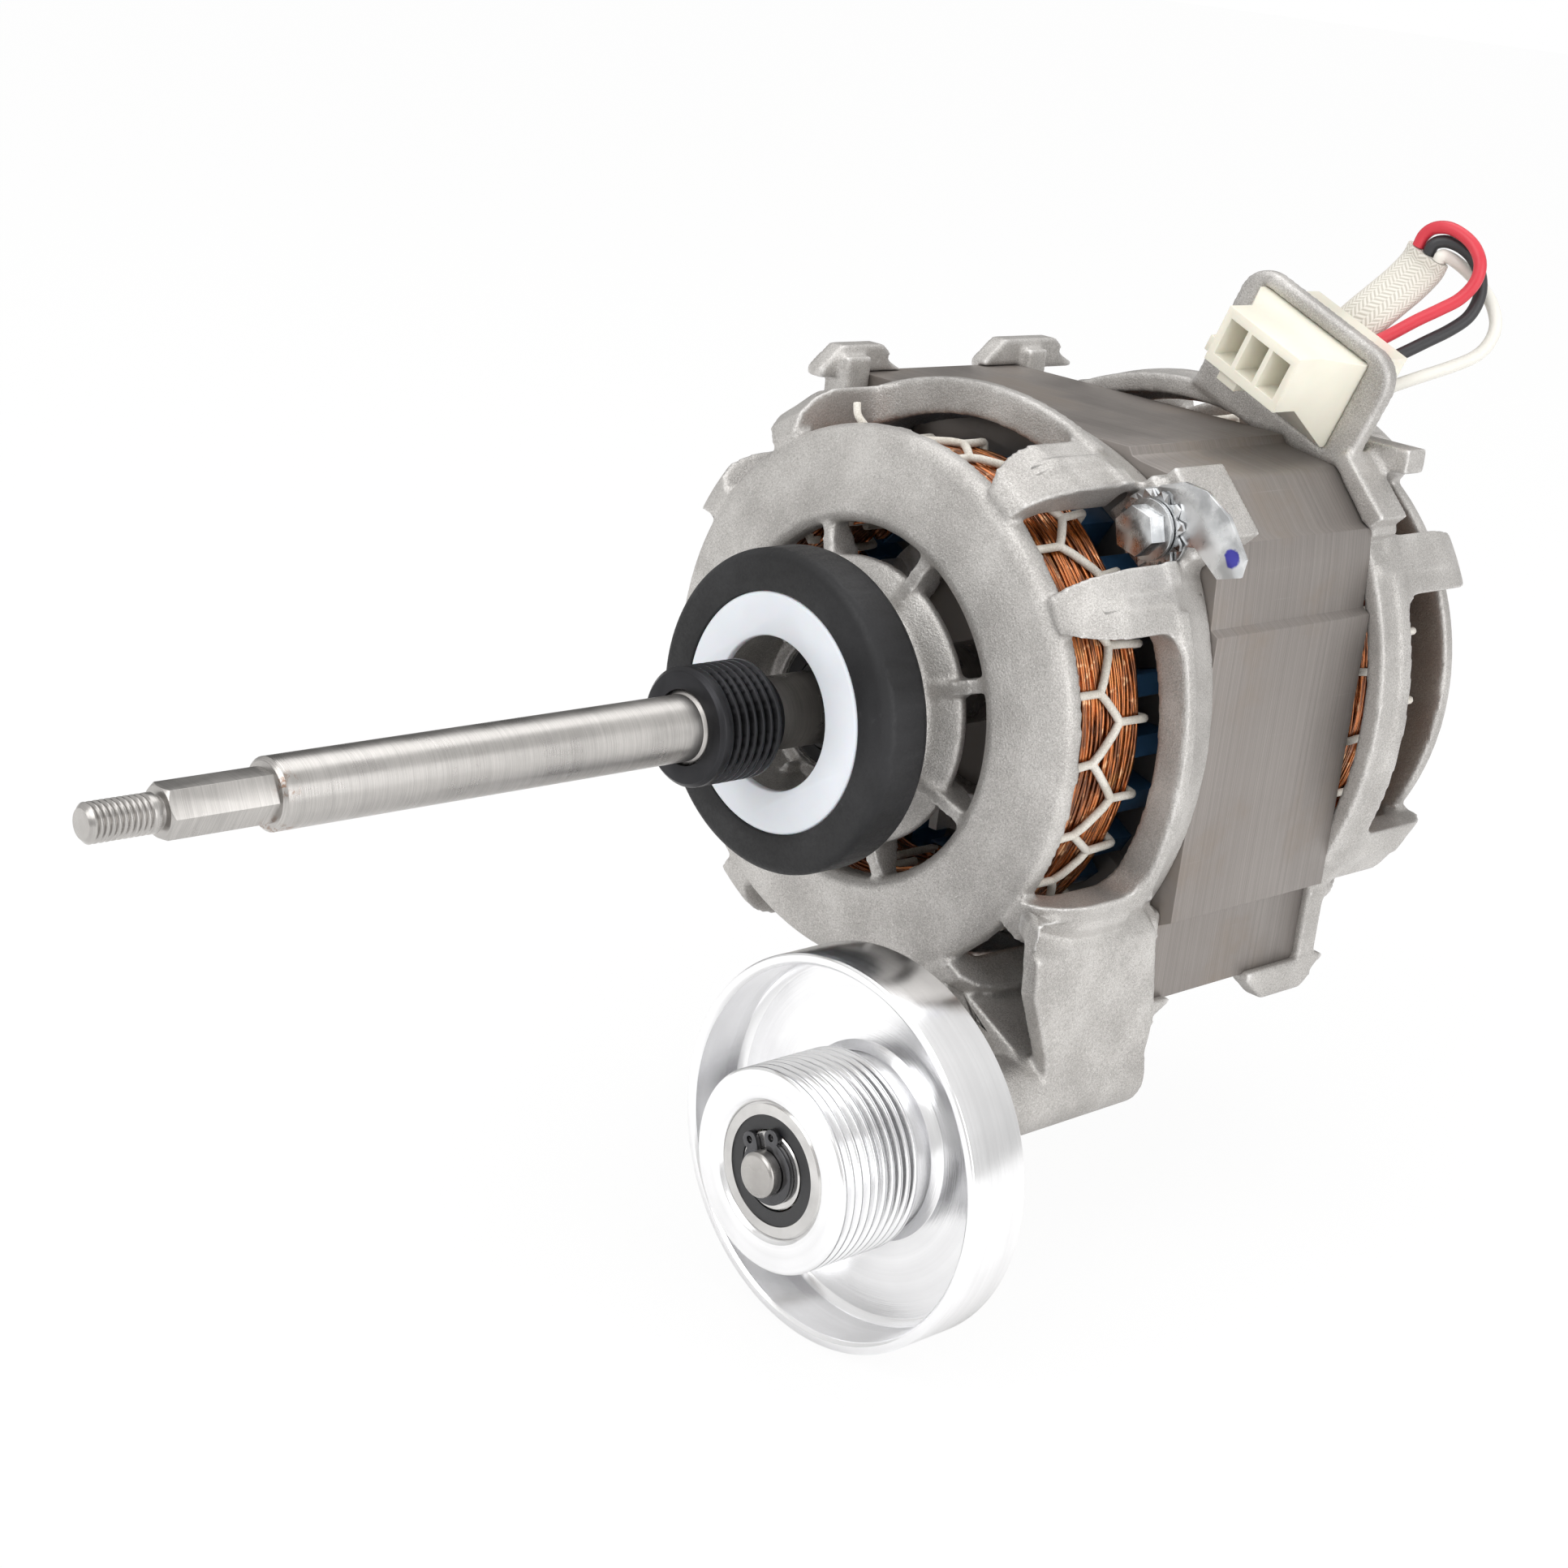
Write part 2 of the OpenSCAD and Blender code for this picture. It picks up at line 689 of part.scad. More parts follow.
// Laminated stack with its slots and bolt holes
module stator_core() {
    color(lamination_col) difference() {
        slab(stack_y, stack_end) polygon(stack_outline);
        rod(stack_y - 1, stack_end + 1, stator_bore);
        for (k = [0:slots - 1]) {
            spin(k * 360 / slots) {
                block([slot_in, stack_y - 1, -slot_w / 2],
                    [slot_in + slot_depth, stack_end + 1, slot_w / 2]);
                block([slot_in - 4, stack_y - 1, -slot_mouth / 2],
                    [slot_in + 1, stack_end + 1, slot_mouth / 2]);
            }
        }
        bolt_holes(stack_y - 1, stack_end + 1);
    }
}

// Box that fills a slot, drawn in by a margin
module slot_box(y0, y1, margin) {
    block([slot_in + margin, y0, margin - slot_w / 2],
        [slot_in + slot_depth - margin, y1, slot_w / 2 - margin]);
}

// Paper liners round the coil sides
module slot_liners() {
    y0 = stack_y - front_paper;
    y1 = stack_end + rear_paper;
    color(paper_col) for (k = [0:slots - 1]) {
        spin(k * 360 / slots) difference() {
            slot_box(y0, y1, seat_gap);
            slot_box(y0 - 1, y1 + 1, seat_gap + paper);
        }
    }
}

// Copper sides of the coils, from one end winding to the other
module coil_sides() {
    color(copper_col) for (k = [0:slots - 1]) {
        spin(k * 360 / slots) slot_box(stack_y - front_neck, stack_end + rear_neck,
            2 * seat_gap + paper);
    }
}

// Plain inner body of an end winding: tip is its far end, dir points from the tip to the stack
module winding_core(tip, dir) {
    r = coil_r - core_inset;
    y = tip + dir * core_inset;
    color(copper_col) lathe([
        [coil_in + 1, y], [r - strand_round, y], [r - 1, y + dir], [r, y + dir * strand_round],
        [r, tip + dir * (bundle_len - 1)], [r - 1, tip + dir * bundle_len],
        [coil_in + 1, tip + dir * bundle_len], [coil_in, tip + dir * (bundle_len - 1.3)],
        [coil_in, y + dir]
    ]);
}

// Outline that the wound strands follow, as radius and distance from the stack's end of the bundle
function strand_outline(s) =
    s < strand_run ? [coil_r - strand_d / 2, strand_d / 2 + s]
    : s < strand_run + strand_bend
        ? let (a = (s - strand_run) / strand_round * 180 / PI)
            [coil_r - strand_d / 2 - strand_round * (1 - cos(a)),
                strand_d / 2 + strand_run + strand_round * sin(a)]
        : [coil_r - strand_d / 2 - strand_round - (s - strand_run - strand_bend),
            strand_d / 2 + strand_run + strand_round];
function strand_path(y_stack, dir) = [
    for (i = [0:coil_loops * loop_steps])
        let (o = strand_outline(i * strand_pitch / loop_steps), a = i * 360 / loop_steps)
        [o[0] * cos(a), y_stack + dir * o[1], o[0] * sin(a)]
];
function least_gap(path) = min([
    for (i = [0:len(path) - 1], j = [i + loop_steps / 2:1:min(i + 2 * loop_steps, len(path) - 1)])
        norm(path[i] - path[j])
]) - strand_d;

// Strands wound round an end winding as one tube
module strands(y_stack, dir) {
    path = strand_path(y_stack, dir);
    echo(least_gap_between_turns = least_gap(path));
    color(copper_col) tube(path, strand_d / 2, strand_d / 2, strand_sides, [0, 1, 0]);
}

// Lacing loops round an end winding, each in a plane through the shaft's axis
module lacing(y0, y1) {
    r0 = coil_in - seat_gap;
    r1 = coil_r + seat_gap;
    t = lace_d;
    cut = 2.5;
    color(cord_col) for (k = [0:laces - 1]) {
        spin((k + 0.5) * 360 / laces) translate([0, 0, -t / 2]) linear_extrude(t) difference() {
            polygon([
                [r0 - t, y0 + cut], [r0 - t + cut, y0 - t], [r1 + t - cut, y0 - t],
                [r1 + t, y0 + cut - t],
                [r1 + t, y1 + t - cut], [r1 + t - cut, y1 + t], [r0 - t + cut, y1 + t],
                [r0 - t, y1 - cut]
            ]);
            polygon([
                [r0, y0 + 1], [r0 + 1, y0 - seat_gap], [r1 - 1, y0 - seat_gap], [r1, y0 + 1],
                [r1, y1 - 1], [r1 - 1, y1 + seat_gap], [r0 + 1, y1 + seat_gap], [r0, y1 - 1]
            ]);
        }
    }
}

module front_winding() { winding_core(front_coil_y, 1); }
module front_strands() { strands(stack_y - front_neck, -1); }
module front_lacing() { lacing(front_coil_y, stack_y - front_neck); }
module rear_winding() { winding_core(rear_coil_y, -1); }
module rear_strands() { strands(stack_end + rear_neck, 1); }
module rear_lacing() { lacing(stack_end + rear_neck, rear_coil_y); }

// Long bolts with flanged hexagon heads at the front
module through_bolts() {
    seat = stack_y - lug_t - washer_t - tab_t;
    color(zinc_col) for (a = [45:90:315]) {
        spin(a) {
            rod(seat - 1, stack_end + lug_t + bolt_head + 3, bolt_d, bolt_r, 0, medium);
            rod(seat - 1.2, seat, bolt_flange, bolt_r, 0, medium);
            translate([bolt_r, 0, 0]) slab(seat - 1.2 - bolt_head, seat - 1) {
                circle(d = bolt_af / cos(30), $fn = 6);
            }
        }
    }
}

// Washers under the bolt heads, and the shim that fills the earth tab's place at the other bolts
module star_washers() {
    y = stack_y - lug_t;
    r = bolt_d / 2 + seat_gap;
    rim = washer_d / 2;
    color(zinc_col) for (a = [45:90:315]) {
        spin(a) lathe([
            [r, y - tab_t - washer_t], [rim - 0.6, y - tab_t - washer_t],
            [rim, y - tab_t - washer_t / 2], [rim, a == 45 ? y - tab_t : y],
            [r, a == 45 ? y - tab_t : y]
        ], bolt_r);
    }
}

// Nuts at the rear ends of the bolts
module bolt_nuts() {
    color(zinc_col) for (a = [45:90:315]) {
        spin(a) difference() {
            translate([bolt_r, 0, 0]) slab(stack_end + lug_t, stack_end + lug_t + bolt_head) {
                circle(d = bolt_af / cos(30), $fn = 6);
            }
            rod(stack_end, stack_end + lug_t + bolt_head + 1, bolt_d + 2 * run_gap, bolt_r, 0, medium);
        }
    }
}

// Earth tab: an eye under the bolt head and a plate that stands out past the corner
module earth_tab() {
    y = stack_y - lug_t;
    out = corner_r - bolt_r;
    color(zinc_col) spin(45) difference() {
        slab(y - tab_t, y) translate([bolt_r, 0]) union() {
            circle(washer_d / 2 + 0.2, $fn = fine);
            polygon([
                [0, 8], [out + 2, 7], [out + 8, 4], [out + 12, -1], [out + 14, -9], [out + 12.5, -19],
                [out + 9, -21.5], [out + 3.5, -18.5], [out + 2.2, -9.6], [out, -8], [0, -8]
            ]);
        }
        rod(y - tab_t - 1, y + 1, bolt_d + 2 * seat_gap, bolt_r, 0, medium);
    }
}

// Connector housing: a mouth, a body that widens to fill the plate's window, and a rear block
module connector_housing() {
    x0 = housing_x - housing_w / 2;
    x1 = housing_x + housing_w / 2;
    z0 = housing_top - housing_h;
    w0 = -plate_window / 2 - 1 + seat_gap;
    w1 = plate_window / 2 - 1 - seat_gap;
    low = window_low + seat_gap;
    mid_y = housing_y + 9;
    color(nylon_col) at_plate() difference() {
        union() {
            block([x0, housing_y, z0], [x1, mid_y, housing_top]);
            hull() {
                block([x0, mid_y - 0.5, z0], [x1, mid_y, housing_top]);
                block([w0, plate_y - 1, low], [w1, plate_y, housing_top]);
            }
            block([w0, plate_y - 1, low], [w1, plate_y + plate_t, housing_top]);
            block([w0 - 2, plate_y + plate_t, low - 1.5],
                [w1 + 2, plate_y + plate_t + 2, housing_top + 2.5]);
            block([w0 + 5, plate_y + plate_t + 1, z0 - 3], [w1, housing_end, housing_top + 1.5]);
            block([x0 - 2.5, housing_y + 2, z0 + 1], [x0 + 1, housing_y + 6, z0 + 5]);
            block([x0 + 5, housing_y + 1, z0 - 2.5], [x0 + 11, housing_y + 8, z0 + 1]);
        }
        for (x = cavities) {
            block([x - cavity_w / 2, housing_y - 1, cavity_z - cavity_h / 2],
                [x + cavity_w / 2, housing_y + cavity_depth, cavity_z + cavity_h / 2]);
        }
    }
}

// Contact blades standing on the floors of the housing's cavities
module connector_blades() {
    floor_y = housing_y + cavity_depth;
    color(zinc_col) at_plate() for (x = cavities) {
        block([x - blade_w / 2, floor_y - blade_len, cavity_z - blade_t / 2],
            [x + blade_w / 2, floor_y, cavity_z + blade_t / 2]);
    }
}

// Routes of the wires in the connector's frame: sideways, along the shaft, outwards
red_route = [
    [4, housing_end, 95.4], [4, housing_end + 3.4, 95.4], [5.4, 150.6, 99], [7.8, 154.4, 104.4],
    [10.2, 157.8, 109], [12, 160.6, 113], [12.4, 162.6, 117.6], [10.8, 163.6, 121.6], [7.2, 164, 124.2],
    [2.8, 164, 125.2], [-1.6, 163.6, 124.6], [-5, 163.2, 122.6], [-6.5, 163, 119.8], [-6.5, 163, 116.7]
];
black_route = [
    [8, housing_end, 92], [8, housing_end + 3.4, 92], [9.8, 151.6, 96], [12, 156.4, 101],
    [13.8, 160.8, 105.4], [14.6, 164.2, 109.6], [13.2, 166.6, 114.2], [10.2, 167.6, 118],
    [6.2, 167.4, 120.6],
    [2.4, 166.2, 121.6], [-1, 164.6, 121.2], [-3, 163.2, 119.4], [-3, 163, 116.7]
];
white_route = [
    [13, housing_end, 88], [13, housing_end + 3.4, 88], [14.4, 150.4, 90.6], [16.6, 155.4, 94.2],
    [19, 160.4, 98], [20.8, 165.2, 101.8], [20.6, 168.8, 105.4], [18.4, 171.4, 109.2],
    [14.4, 172, 112.6],
    [9.8, 171, 115], [5.4, 168.8, 116.8], [2.2, 165.8, 118], [0.6, 163.1, 118.2], [0.5, 163, 116.7]
];
sleeve_route = [
    sleeve_mouth, [-3, 163, 113], [-3, 160, 108.4], [-3, 156, 104.4], [-3.4, 152, 99.6],
    [-4.6, 149.6, 94], [-6.8, 148.2, 88], [-9.4, 147.8, 81.6], [-11.6, 148, 75.4], [-13, 148.6, 69.6],
    [-13.6, 149.2, 64.4], [-13.8, 149.6, 60.2]
];
module wire(route) {
    tube([for (p = route) plate_point(p)], wire_d / 2, wire_d / 2, 8, plate_point([1, 0.2, 0.1]));
}
module wire_red() { color(red_col) wire(red_route); }
module wire_black() { color(black_col) wire(black_route); }
module wire_white() { color(cord_col) wire(white_route); }
module wire_sleeve() {
    color(sleeve_col) tube(
        [for (p = sleeve_route) plate_point(p)], sleeve_t / 2, sleeve_w / 2, 12, plate_point([1, 0, 0])
    );
}

// Rubber ring with rounded outer edges, centred at y
module mount_rubber(y) {
    r = ring_d / 2;
    e = ring_round;
    edge = [for (a = [0:15:90]) [r - e + e * sin(a), e * cos(a)]];
    color(rubber_col) translate([0, y, 0]) lathe(concat(
        [[liner_d / 2 + press_gap, -ring_w / 2]],
        [for (p = edge) [p[0], e - ring_w / 2 - p[1]]],
        [for (i = [len(edge) - 1:-1:0]) [edge[i][0], ring_w / 2 - e + edge[i][1]]],
        [[liner_d / 2 + press_gap, ring_w / 2]]
    ));
}

// White cap between the rubber ring and the hub, with its closed end towards dir
module mount_liner(y, dir) {
    r = liner_d / 2;
    tip = y - dir * ring_w / 2;
    back = y + dir * ring_w / 2;
    color(liner_col) lathe([
        [liner_bore / 2, tip], [r - 0.6, tip], [r, tip + dir * 0.6], [r, back], [r - liner_wall, back],
        [r - liner_wall, tip + dir * liner_wall], [liner_bore / 2, tip + dir * liner_wall]
    ]);
}
module front_mount_rubber() { mount_rubber(0); }
module front_mount_liner() { mount_liner(0, 1); }
module rear_mount_rubber() { mount_rubber(rear_ring_y); }
module rear_mount_liner() { mount_liner(rear_ring_y, -1); }

// Ball bearing parts: y0 is the front face, w the width, p the balls' circle and b a ball's diameter
module race_groove(y0, w, p, b, x, z) {
    translate([x, y0 + w / 2, z]) rotate([-90, 0, 0]) rotate_extrude($fn = fine) {
        translate([p, 0]) circle(b / 2 + run_gap, $fn = medium);
    }
}
module outer_race(y0, w, d, p, b, x = 0, z = 0) {
    color(bright_col) difference() {
        lathe([
            [d / 2 - 0.5, y0], [d / 2, y0 + 0.5], [d / 2, y0 + w - 0.5], [d / 2 - 0.5, y0 + w],
            [p + seal_land * b, y0 + w], [p + seal_land * b, y0 + w - 1.2], [p + land * b, y0 + w - 1.2],
            [p + land * b, y0 + 1.2], [p + seal_land * b, y0 + 1.2], [p + seal_land * b, y0]
        ], x, z);
        race_groove(y0, w, p, b, x, z);
    }
}
module inner_race(y0, w, bore, p, b, x = 0, z = 0) {
    r = bore / 2 + press_gap;
    color(bright_col) difference() {
        lathe([
            [r, y0], [p - land * b - 0.3, y0], [p - land * b, y0 + 0.3], [p - land * b, y0 + w - 0.3],
            [p - land * b - 0.3, y0 + w], [r, y0 + w]
        ], x, z);
        race_groove(y0, w, p, b, x, z);
    }
}
module ball_set(y0, w, p, b, n, x = 0, z = 0) {
    color(bright_col) for (k = [0:n - 1]) {
        translate([x, y0 + w / 2, z]) spin(k * 360 / n) translate([p, 0, 0]) sphere(d = b, $fn = coarse);
    }
}
module ball_cage(y0, w, p, b, n, x = 0, z = 0) {
    reach = b * 0.56;
    color(nylon_col) difference() {
        collar(y0 + w / 2 - reach, y0 + w / 2 + reach, 2 * p + 0.34 * b, 2 * p - 0.34 * b, x, z);
        for (k = [0:n - 1]) {
            translate([x, y0 + w / 2, z]) spin(k * 360 / n) translate([p - b, 0, 0]) rotate([0, 90, 0]) {
                cylinder(h = 2 * b, d = b + 4 * run_gap, $fn = medium);
            }
        }
    }
}
module seal_pair(y0, w, p, b, x = 0, z = 0) {
    color(black_col) for (y = [y0 + 0.3, y0 + w - 1.2]) {
        collar(y, y + 0.9, 2 * (p + seal_land * b - press_gap), 2 * (p - land * b + turn_gap), x, z);
    }
}

module front_bearing_outer() { outer_race(front_bearing_y, bearing_w, bearing_d, pitch_r, ball_d); }
module front_bearing_inner() { inner_race(front_bearing_y, bearing_w, seat_d, pitch_r, ball_d); }
module front_bearing_balls() { ball_set(front_bearing_y, bearing_w, pitch_r, ball_d, balls); }
module front_bearing_cage() { ball_cage(front_bearing_y, bearing_w, pitch_r, ball_d, balls); }
module front_bearing_seals() { seal_pair(front_bearing_y, bearing_w, pitch_r, ball_d); }
module rear_bearing_outer() { outer_race(rear_bearing_y, bearing_w, bearing_d, pitch_r, ball_d); }
module rear_bearing_inner() { inner_race(rear_bearing_y, bearing_w, seat_d, pitch_r, ball_d); }
module rear_bearing_balls() { ball_set(rear_bearing_y, bearing_w, pitch_r, ball_d, balls); }
module rear_bearing_cage() { ball_cage(rear_bearing_y, bearing_w, pitch_r, ball_d, balls); }
module rear_bearing_seals() { seal_pair(rear_bearing_y, bearing_w, pitch_r, ball_d); }

// Spring washer between the rear bearing and its seat
module spring_washer() {
    color(steel_col) collar(rear_seat_y - spring_t, rear_seat_y, bearing_d - 4 * seat_gap,
        bearing_d - 4);
}

// Split ring with two eyes, in a groove of an axle of diameter d
module circlip(y0, d, x, z, turn) {
    r = d / 2;
    color(steel_col) translate([x, 0, z]) spin(turn) difference() {
        union() {
            collar(y0, y0 + clip_t, d + 4.4, d - 1);
            for (s = [-1, 1]) {
                rod(y0, y0 + clip_t, 4, r + 2, s * 3.4, coarse);
            }
        }
        block([r - 2, y0 - 1, -1.4], [r + 8, y0 + clip_t + 1, 1.4]);
        rod(y0 - 1, y0 + clip_t + 1, d - 1);
        for (s = [-1, 1]) {
            rod(y0 - 1, y0 + clip_t + 1, 1.6, r + 2.2, s * 3.4, coarse);
        }
    }
}
module shaft_circlip() { circlip(front_bearing_y - clip_t - seat_gap, seat_d, 0, 0, 60); }
module axle_circlip() { circlip(step_bearing_front - clip_t - seat_gap, axle_d, step_x, step_z, 115); }

// Groove points for a circlip whose front face is at y, on a shaft of radius r
function clip_groove(y, r) = [
    [r, y - seat_gap], [r - 0.7, y - seat_gap], [r - 0.7, y + clip_t + seat_gap],
    [r, y + clip_t + seat_gap]
];

// Thread drawn as rings of 60 degree grooves
function thread_points(r, y0, n, pitch) = [
    for (i = [0:n - 1], q = [[0, 0.15], [0.54, 0.45], [0.54, 0.55], [0, 0.85]])
        [r - q[0] * pitch, y0 + (i + q[1]) * pitch]
];

// Rotor shaft: threaded tip, hexagon, long plain part, thicker body and rear stub
module rotor_shaft() {
    r = shaft_d / 2;
    seat_r = seat_d / 2;
    body_r = shaft_body_d / 2;
    step = seat_r - r;
    tip = -shaft_front - hex_len - thread_len;
    hex_front = -shaft_front - hex_len;
    thread_count = floor((thread_len - 3) / thread_pitch);
    tail = rear_bearing_y + bearing_w + shaft_stub;
    clip_y = front_bearing_y - clip_t - seat_gap;
    color(steel_col) union() {
        lathe(concat(
            [[0, tip], [thread_d / 2 - 1, tip], [thread_d / 2, tip + 1]],
            thread_points(thread_d / 2, tip + 1, thread_count, thread_pitch),
            [[thread_d / 2, hex_front - 1.2], [thread_d / 2 - 0.7, hex_front - 1],
            [thread_d / 2 - 0.7, hex_front + 1]],
            [[0, hex_front + 1]]
        ));
        intersection() {
            slab(hex_front, 1 - shaft_front) circle(d = hex_af / cos(30), $fn = 6);
            lathe([
                [0, hex_front], [hex_af / 2, hex_front], [hex_af / 2 + 0.8, hex_front + 0.8],
                [hex_af / 2 + 0.8, 1 - shaft_front], [0, 1 - shaft_front]
            ]);
        }
        lathe(concat(
            [
                [0, -shaft_front], [r - 0.8, -shaft_front], [r, 0.8 - shaft_front],
                [r, drive_front - step_out], [seat_r, drive_front - step_out + step]
            ],
            clip_groove(clip_y, seat_r),
            [
                [seat_r, front_bearing_y + bearing_w], [body_r, front_bearing_y + bearing_w],
                [body_r, rear_bearing_y], [seat_r, rear_bearing_y], [seat_r, tail - 1],
                [seat_r - 1, tail], [0, tail]
            ]
        ));
    }
}

// Circle of the rotor's bars, a little inside its rim
module bar_set(y0, y1, d) {
    for (k = [0:bars - 1]) {
        spin(k * 360 / bars) rod(y0, y1, d, stator_bore / 2 - turn_gap - bar_d / 2 - 0.8, 0, coarse);
    }
}
module rotor_core() {
    color(lamination_col) difference() {
        collar(stack_y, stack_end, stator_bore - 2 * turn_gap, shaft_body_d + 2 * press_gap);
        bar_set(stack_y - 1, stack_end + 1, bar_d + 2 * press_gap);
    }
}

// Die-cast cage: bars through the core, and at both ends a ring with cooling fins
module rotor_cage() {
    r = stator_bore / 2 - turn_gap - 0.6;
    color(cast_col) union() {
        bar_set(stack_y - 1, stack_end + 1, bar_d);
        for (y = [stack_y - end_ring, stack_end]) {
            collar(y, y + end_ring, 2 * r, 2 * r - 20);
        }
        for (k = [0:fins - 1], y = [stack_y - end_ring - fin_len, stack_end + end_ring - 1]) {
            spin((k + 0.5) * 360 / fins) block([r - 8, y, -1.3], [r - 1, y + fin_len + 1, 1.3]);
        }
    }
}

// Points of V grooves cut into a pulley of radius r from y on
function groove_points(r, y, n) =
    let (run = groove_depth * tan(20), top = (belt_pitch - 2 * run - 0.3) / 2)
    [for (i = [0:n - 1], q = [[0, top], [1, top + run], [1, belt_pitch - top - run],
    [0, belt_pitch - top]])
        [r - q[0] * groove_depth, y + i * belt_pitch + q[1]]];

// Ribbed pulley on the motor's shaft
module drive_pulley() {
    r = drive_d / 2;
    bore = seat_d / 2 + press_gap;
    color(black_col) lathe(concat(
        [[bore, drive_front], [r - 1, drive_front], [r, drive_front + 1],
        [r, drive_front + drive_rim - 0.2]],
        groove_points(r, drive_front + drive_rim, drive_grooves),
        [
            [r, -drive_back - 0.4], [r - 0.4, -drive_back], [drive_collar_d / 2, -drive_back],
            [drive_collar_d / 2, drive_collar - drive_back - 0.6],
            [drive_collar_d / 2 - 0.6, drive_collar - drive_back], [bore, drive_collar - drive_back]
        ]
    ));
}

// Axle of the step pulley, pressed into the bracket's boss
module step_axle() {
    r = axle_d / 2;
    shoulder = step_bearing_rear + step_bearing_w;
    clip_y = step_bearing_front - clip_t - seat_gap;
    color(steel_col) lathe(concat(
        [[0, step_front - axle_tip], [r - 0.6, step_front - axle_tip], [r, step_front - axle_tip + 0.6]],
        clip_groove(clip_y, r),
        [
            [r, shoulder], [r + 2.2, shoulder], [r + 2.2, boss_front], [r, boss_front],
            [r, boss_back - 3], [r - 1, boss_back - 2], [0, boss_back - 2]
        ]
    ), step_x, step_z);
}
module axle_spacer() {
    color(steel_col) collar(step_bearing_front + step_bearing_w, step_bearing_rear,
        axle_d + 4.4, axle_d + 2 * press_gap, step_x, step_z);
}
module step_inner_races() {
    for (y = step_starts) {
        inner_race(y, step_bearing_w, axle_d, step_pitch_r, step_ball_d, step_x, step_z);
    }
}
module step_outer_races() {
    for (y = step_starts) {
        outer_race(y, step_bearing_w, step_bearing_d, step_pitch_r, step_ball_d, step_x, step_z);
    }
}
module step_bearing_balls() {
    for (y = step_starts) {
        ball_set(y, step_bearing_w, step_pitch_r, step_ball_d, step_balls, step_x, step_z);
    }
}
module step_cages() {
    for (y = step_starts) {
        ball_cage(y, step_bearing_w, step_pitch_r, step_ball_d, step_balls, step_x, step_z);
    }
}
module step_seals() {
    for (y = step_starts) {
        seal_pair(y, step_bearing_w, step_pitch_r, step_ball_d, step_x, step_z);
    }
}

// Two-step pulley: a ribbed front part and a cup-shaped drum round its rear
module step_pulley() {
    r = small_d / 2;
    drum_r = drum_d / 2;
    bore = step_bearing_d / 2 + press_gap;
    shoulder = bore - 1.8;
    seat_front = step_bearing_front + step_bearing_w;
    web_y = drum_back - drum_web;
    color(bright_col) lathe(concat(
        [
            [bore, step_front + 0.9], [bore + 0.9, step_front], [r - 0.5, step_front],
            [r, step_front + 0.5], [r, step_front + small_rim - 0.1]
        ],
        groove_points(r, step_front + small_rim, small_grooves),
        [
            [r, small_end - 0.4], [r - 0.4, small_end], [hub_d / 2, small_end], [hub_d / 2, web_y - 2],
            [hub_d / 2 + 2, web_y], [drum_r - drum_wall - 1.5, web_y], [drum_r - drum_wall, web_y - 1.5],
            [drum_r - drum_wall, drum_front + 0.8], [drum_r - drum_wall + 0.8, drum_front],
            [drum_r - 0.4, drum_front], [drum_r, drum_front + 0.4], [drum_r, drum_back - 1.5],
            [drum_r - 1.5, drum_back], [bore, drum_back], [bore, step_bearing_rear],
            [shoulder, step_bearing_rear], [shoulder, seat_front], [bore, seat_front]
        ]
    ), step_x, step_z);
}

front_end_shield();
rear_end_shield();
stator_core();
slot_liners();
coil_sides();
front_winding();
front_strands();
front_lacing();
rear_winding();
rear_strands();
rear_lacing();
through_bolts();
star_washers();
bolt_nuts();
earth_tab();
connector_housing();
connector_blades();
wire_red();
wire_black();
wire_white();
wire_sleeve();
front_mount_rubber();
front_mount_liner();
rear_mount_rubber();
rear_mount_liner();
front_bearing_outer();
front_bearing_inner();
front_bearing_balls();
front_bearing_cage();
front_bearing_seals();
rear_bearing_outer();
rear_bearing_inner();
rear_bearing_balls();
rear_bearing_cage();
rear_bearing_seals();
spring_washer();
shaft_circlip();
rotor_shaft();
rotor_core();
rotor_cage();
drive_pulley();
step_axle();
axle_spacer();
axle_circlip();
step_inner_races();
step_outer_races();
step_bearing_balls();
step_cages();
step_seals();
step_pulley();
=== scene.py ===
"""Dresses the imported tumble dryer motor: castings, windings, leads, finishes, studio and camera."""

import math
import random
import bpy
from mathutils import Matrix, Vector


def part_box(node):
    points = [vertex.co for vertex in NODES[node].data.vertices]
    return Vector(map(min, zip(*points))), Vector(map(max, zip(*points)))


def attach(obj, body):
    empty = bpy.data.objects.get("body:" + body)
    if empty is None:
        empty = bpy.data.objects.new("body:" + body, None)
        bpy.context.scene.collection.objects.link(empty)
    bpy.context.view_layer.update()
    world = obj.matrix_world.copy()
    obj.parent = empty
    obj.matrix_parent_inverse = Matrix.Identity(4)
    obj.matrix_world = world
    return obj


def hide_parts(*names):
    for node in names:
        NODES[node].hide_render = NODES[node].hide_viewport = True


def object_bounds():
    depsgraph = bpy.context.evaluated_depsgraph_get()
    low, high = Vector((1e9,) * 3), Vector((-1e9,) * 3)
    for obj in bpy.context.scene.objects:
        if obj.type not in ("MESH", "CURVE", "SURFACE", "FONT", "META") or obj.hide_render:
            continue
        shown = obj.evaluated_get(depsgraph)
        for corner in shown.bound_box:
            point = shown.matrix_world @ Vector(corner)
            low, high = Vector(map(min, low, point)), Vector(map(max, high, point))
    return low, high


bl_info = {
    "name": "Tumble Dryer Motor",
    "version": (1, 0, 0),
    "blender": (4, 5, 0),
    "location": "3D View > Sidebar > Motor",
    "description": "Castings, windings, leads and finishes for a tumble dryer motor",
    "category": "Object",
}

import bpy
from bpy.props import FloatProperty, FloatVectorProperty, IntProperty, PointerProperty
from mathutils import Matrix, Vector

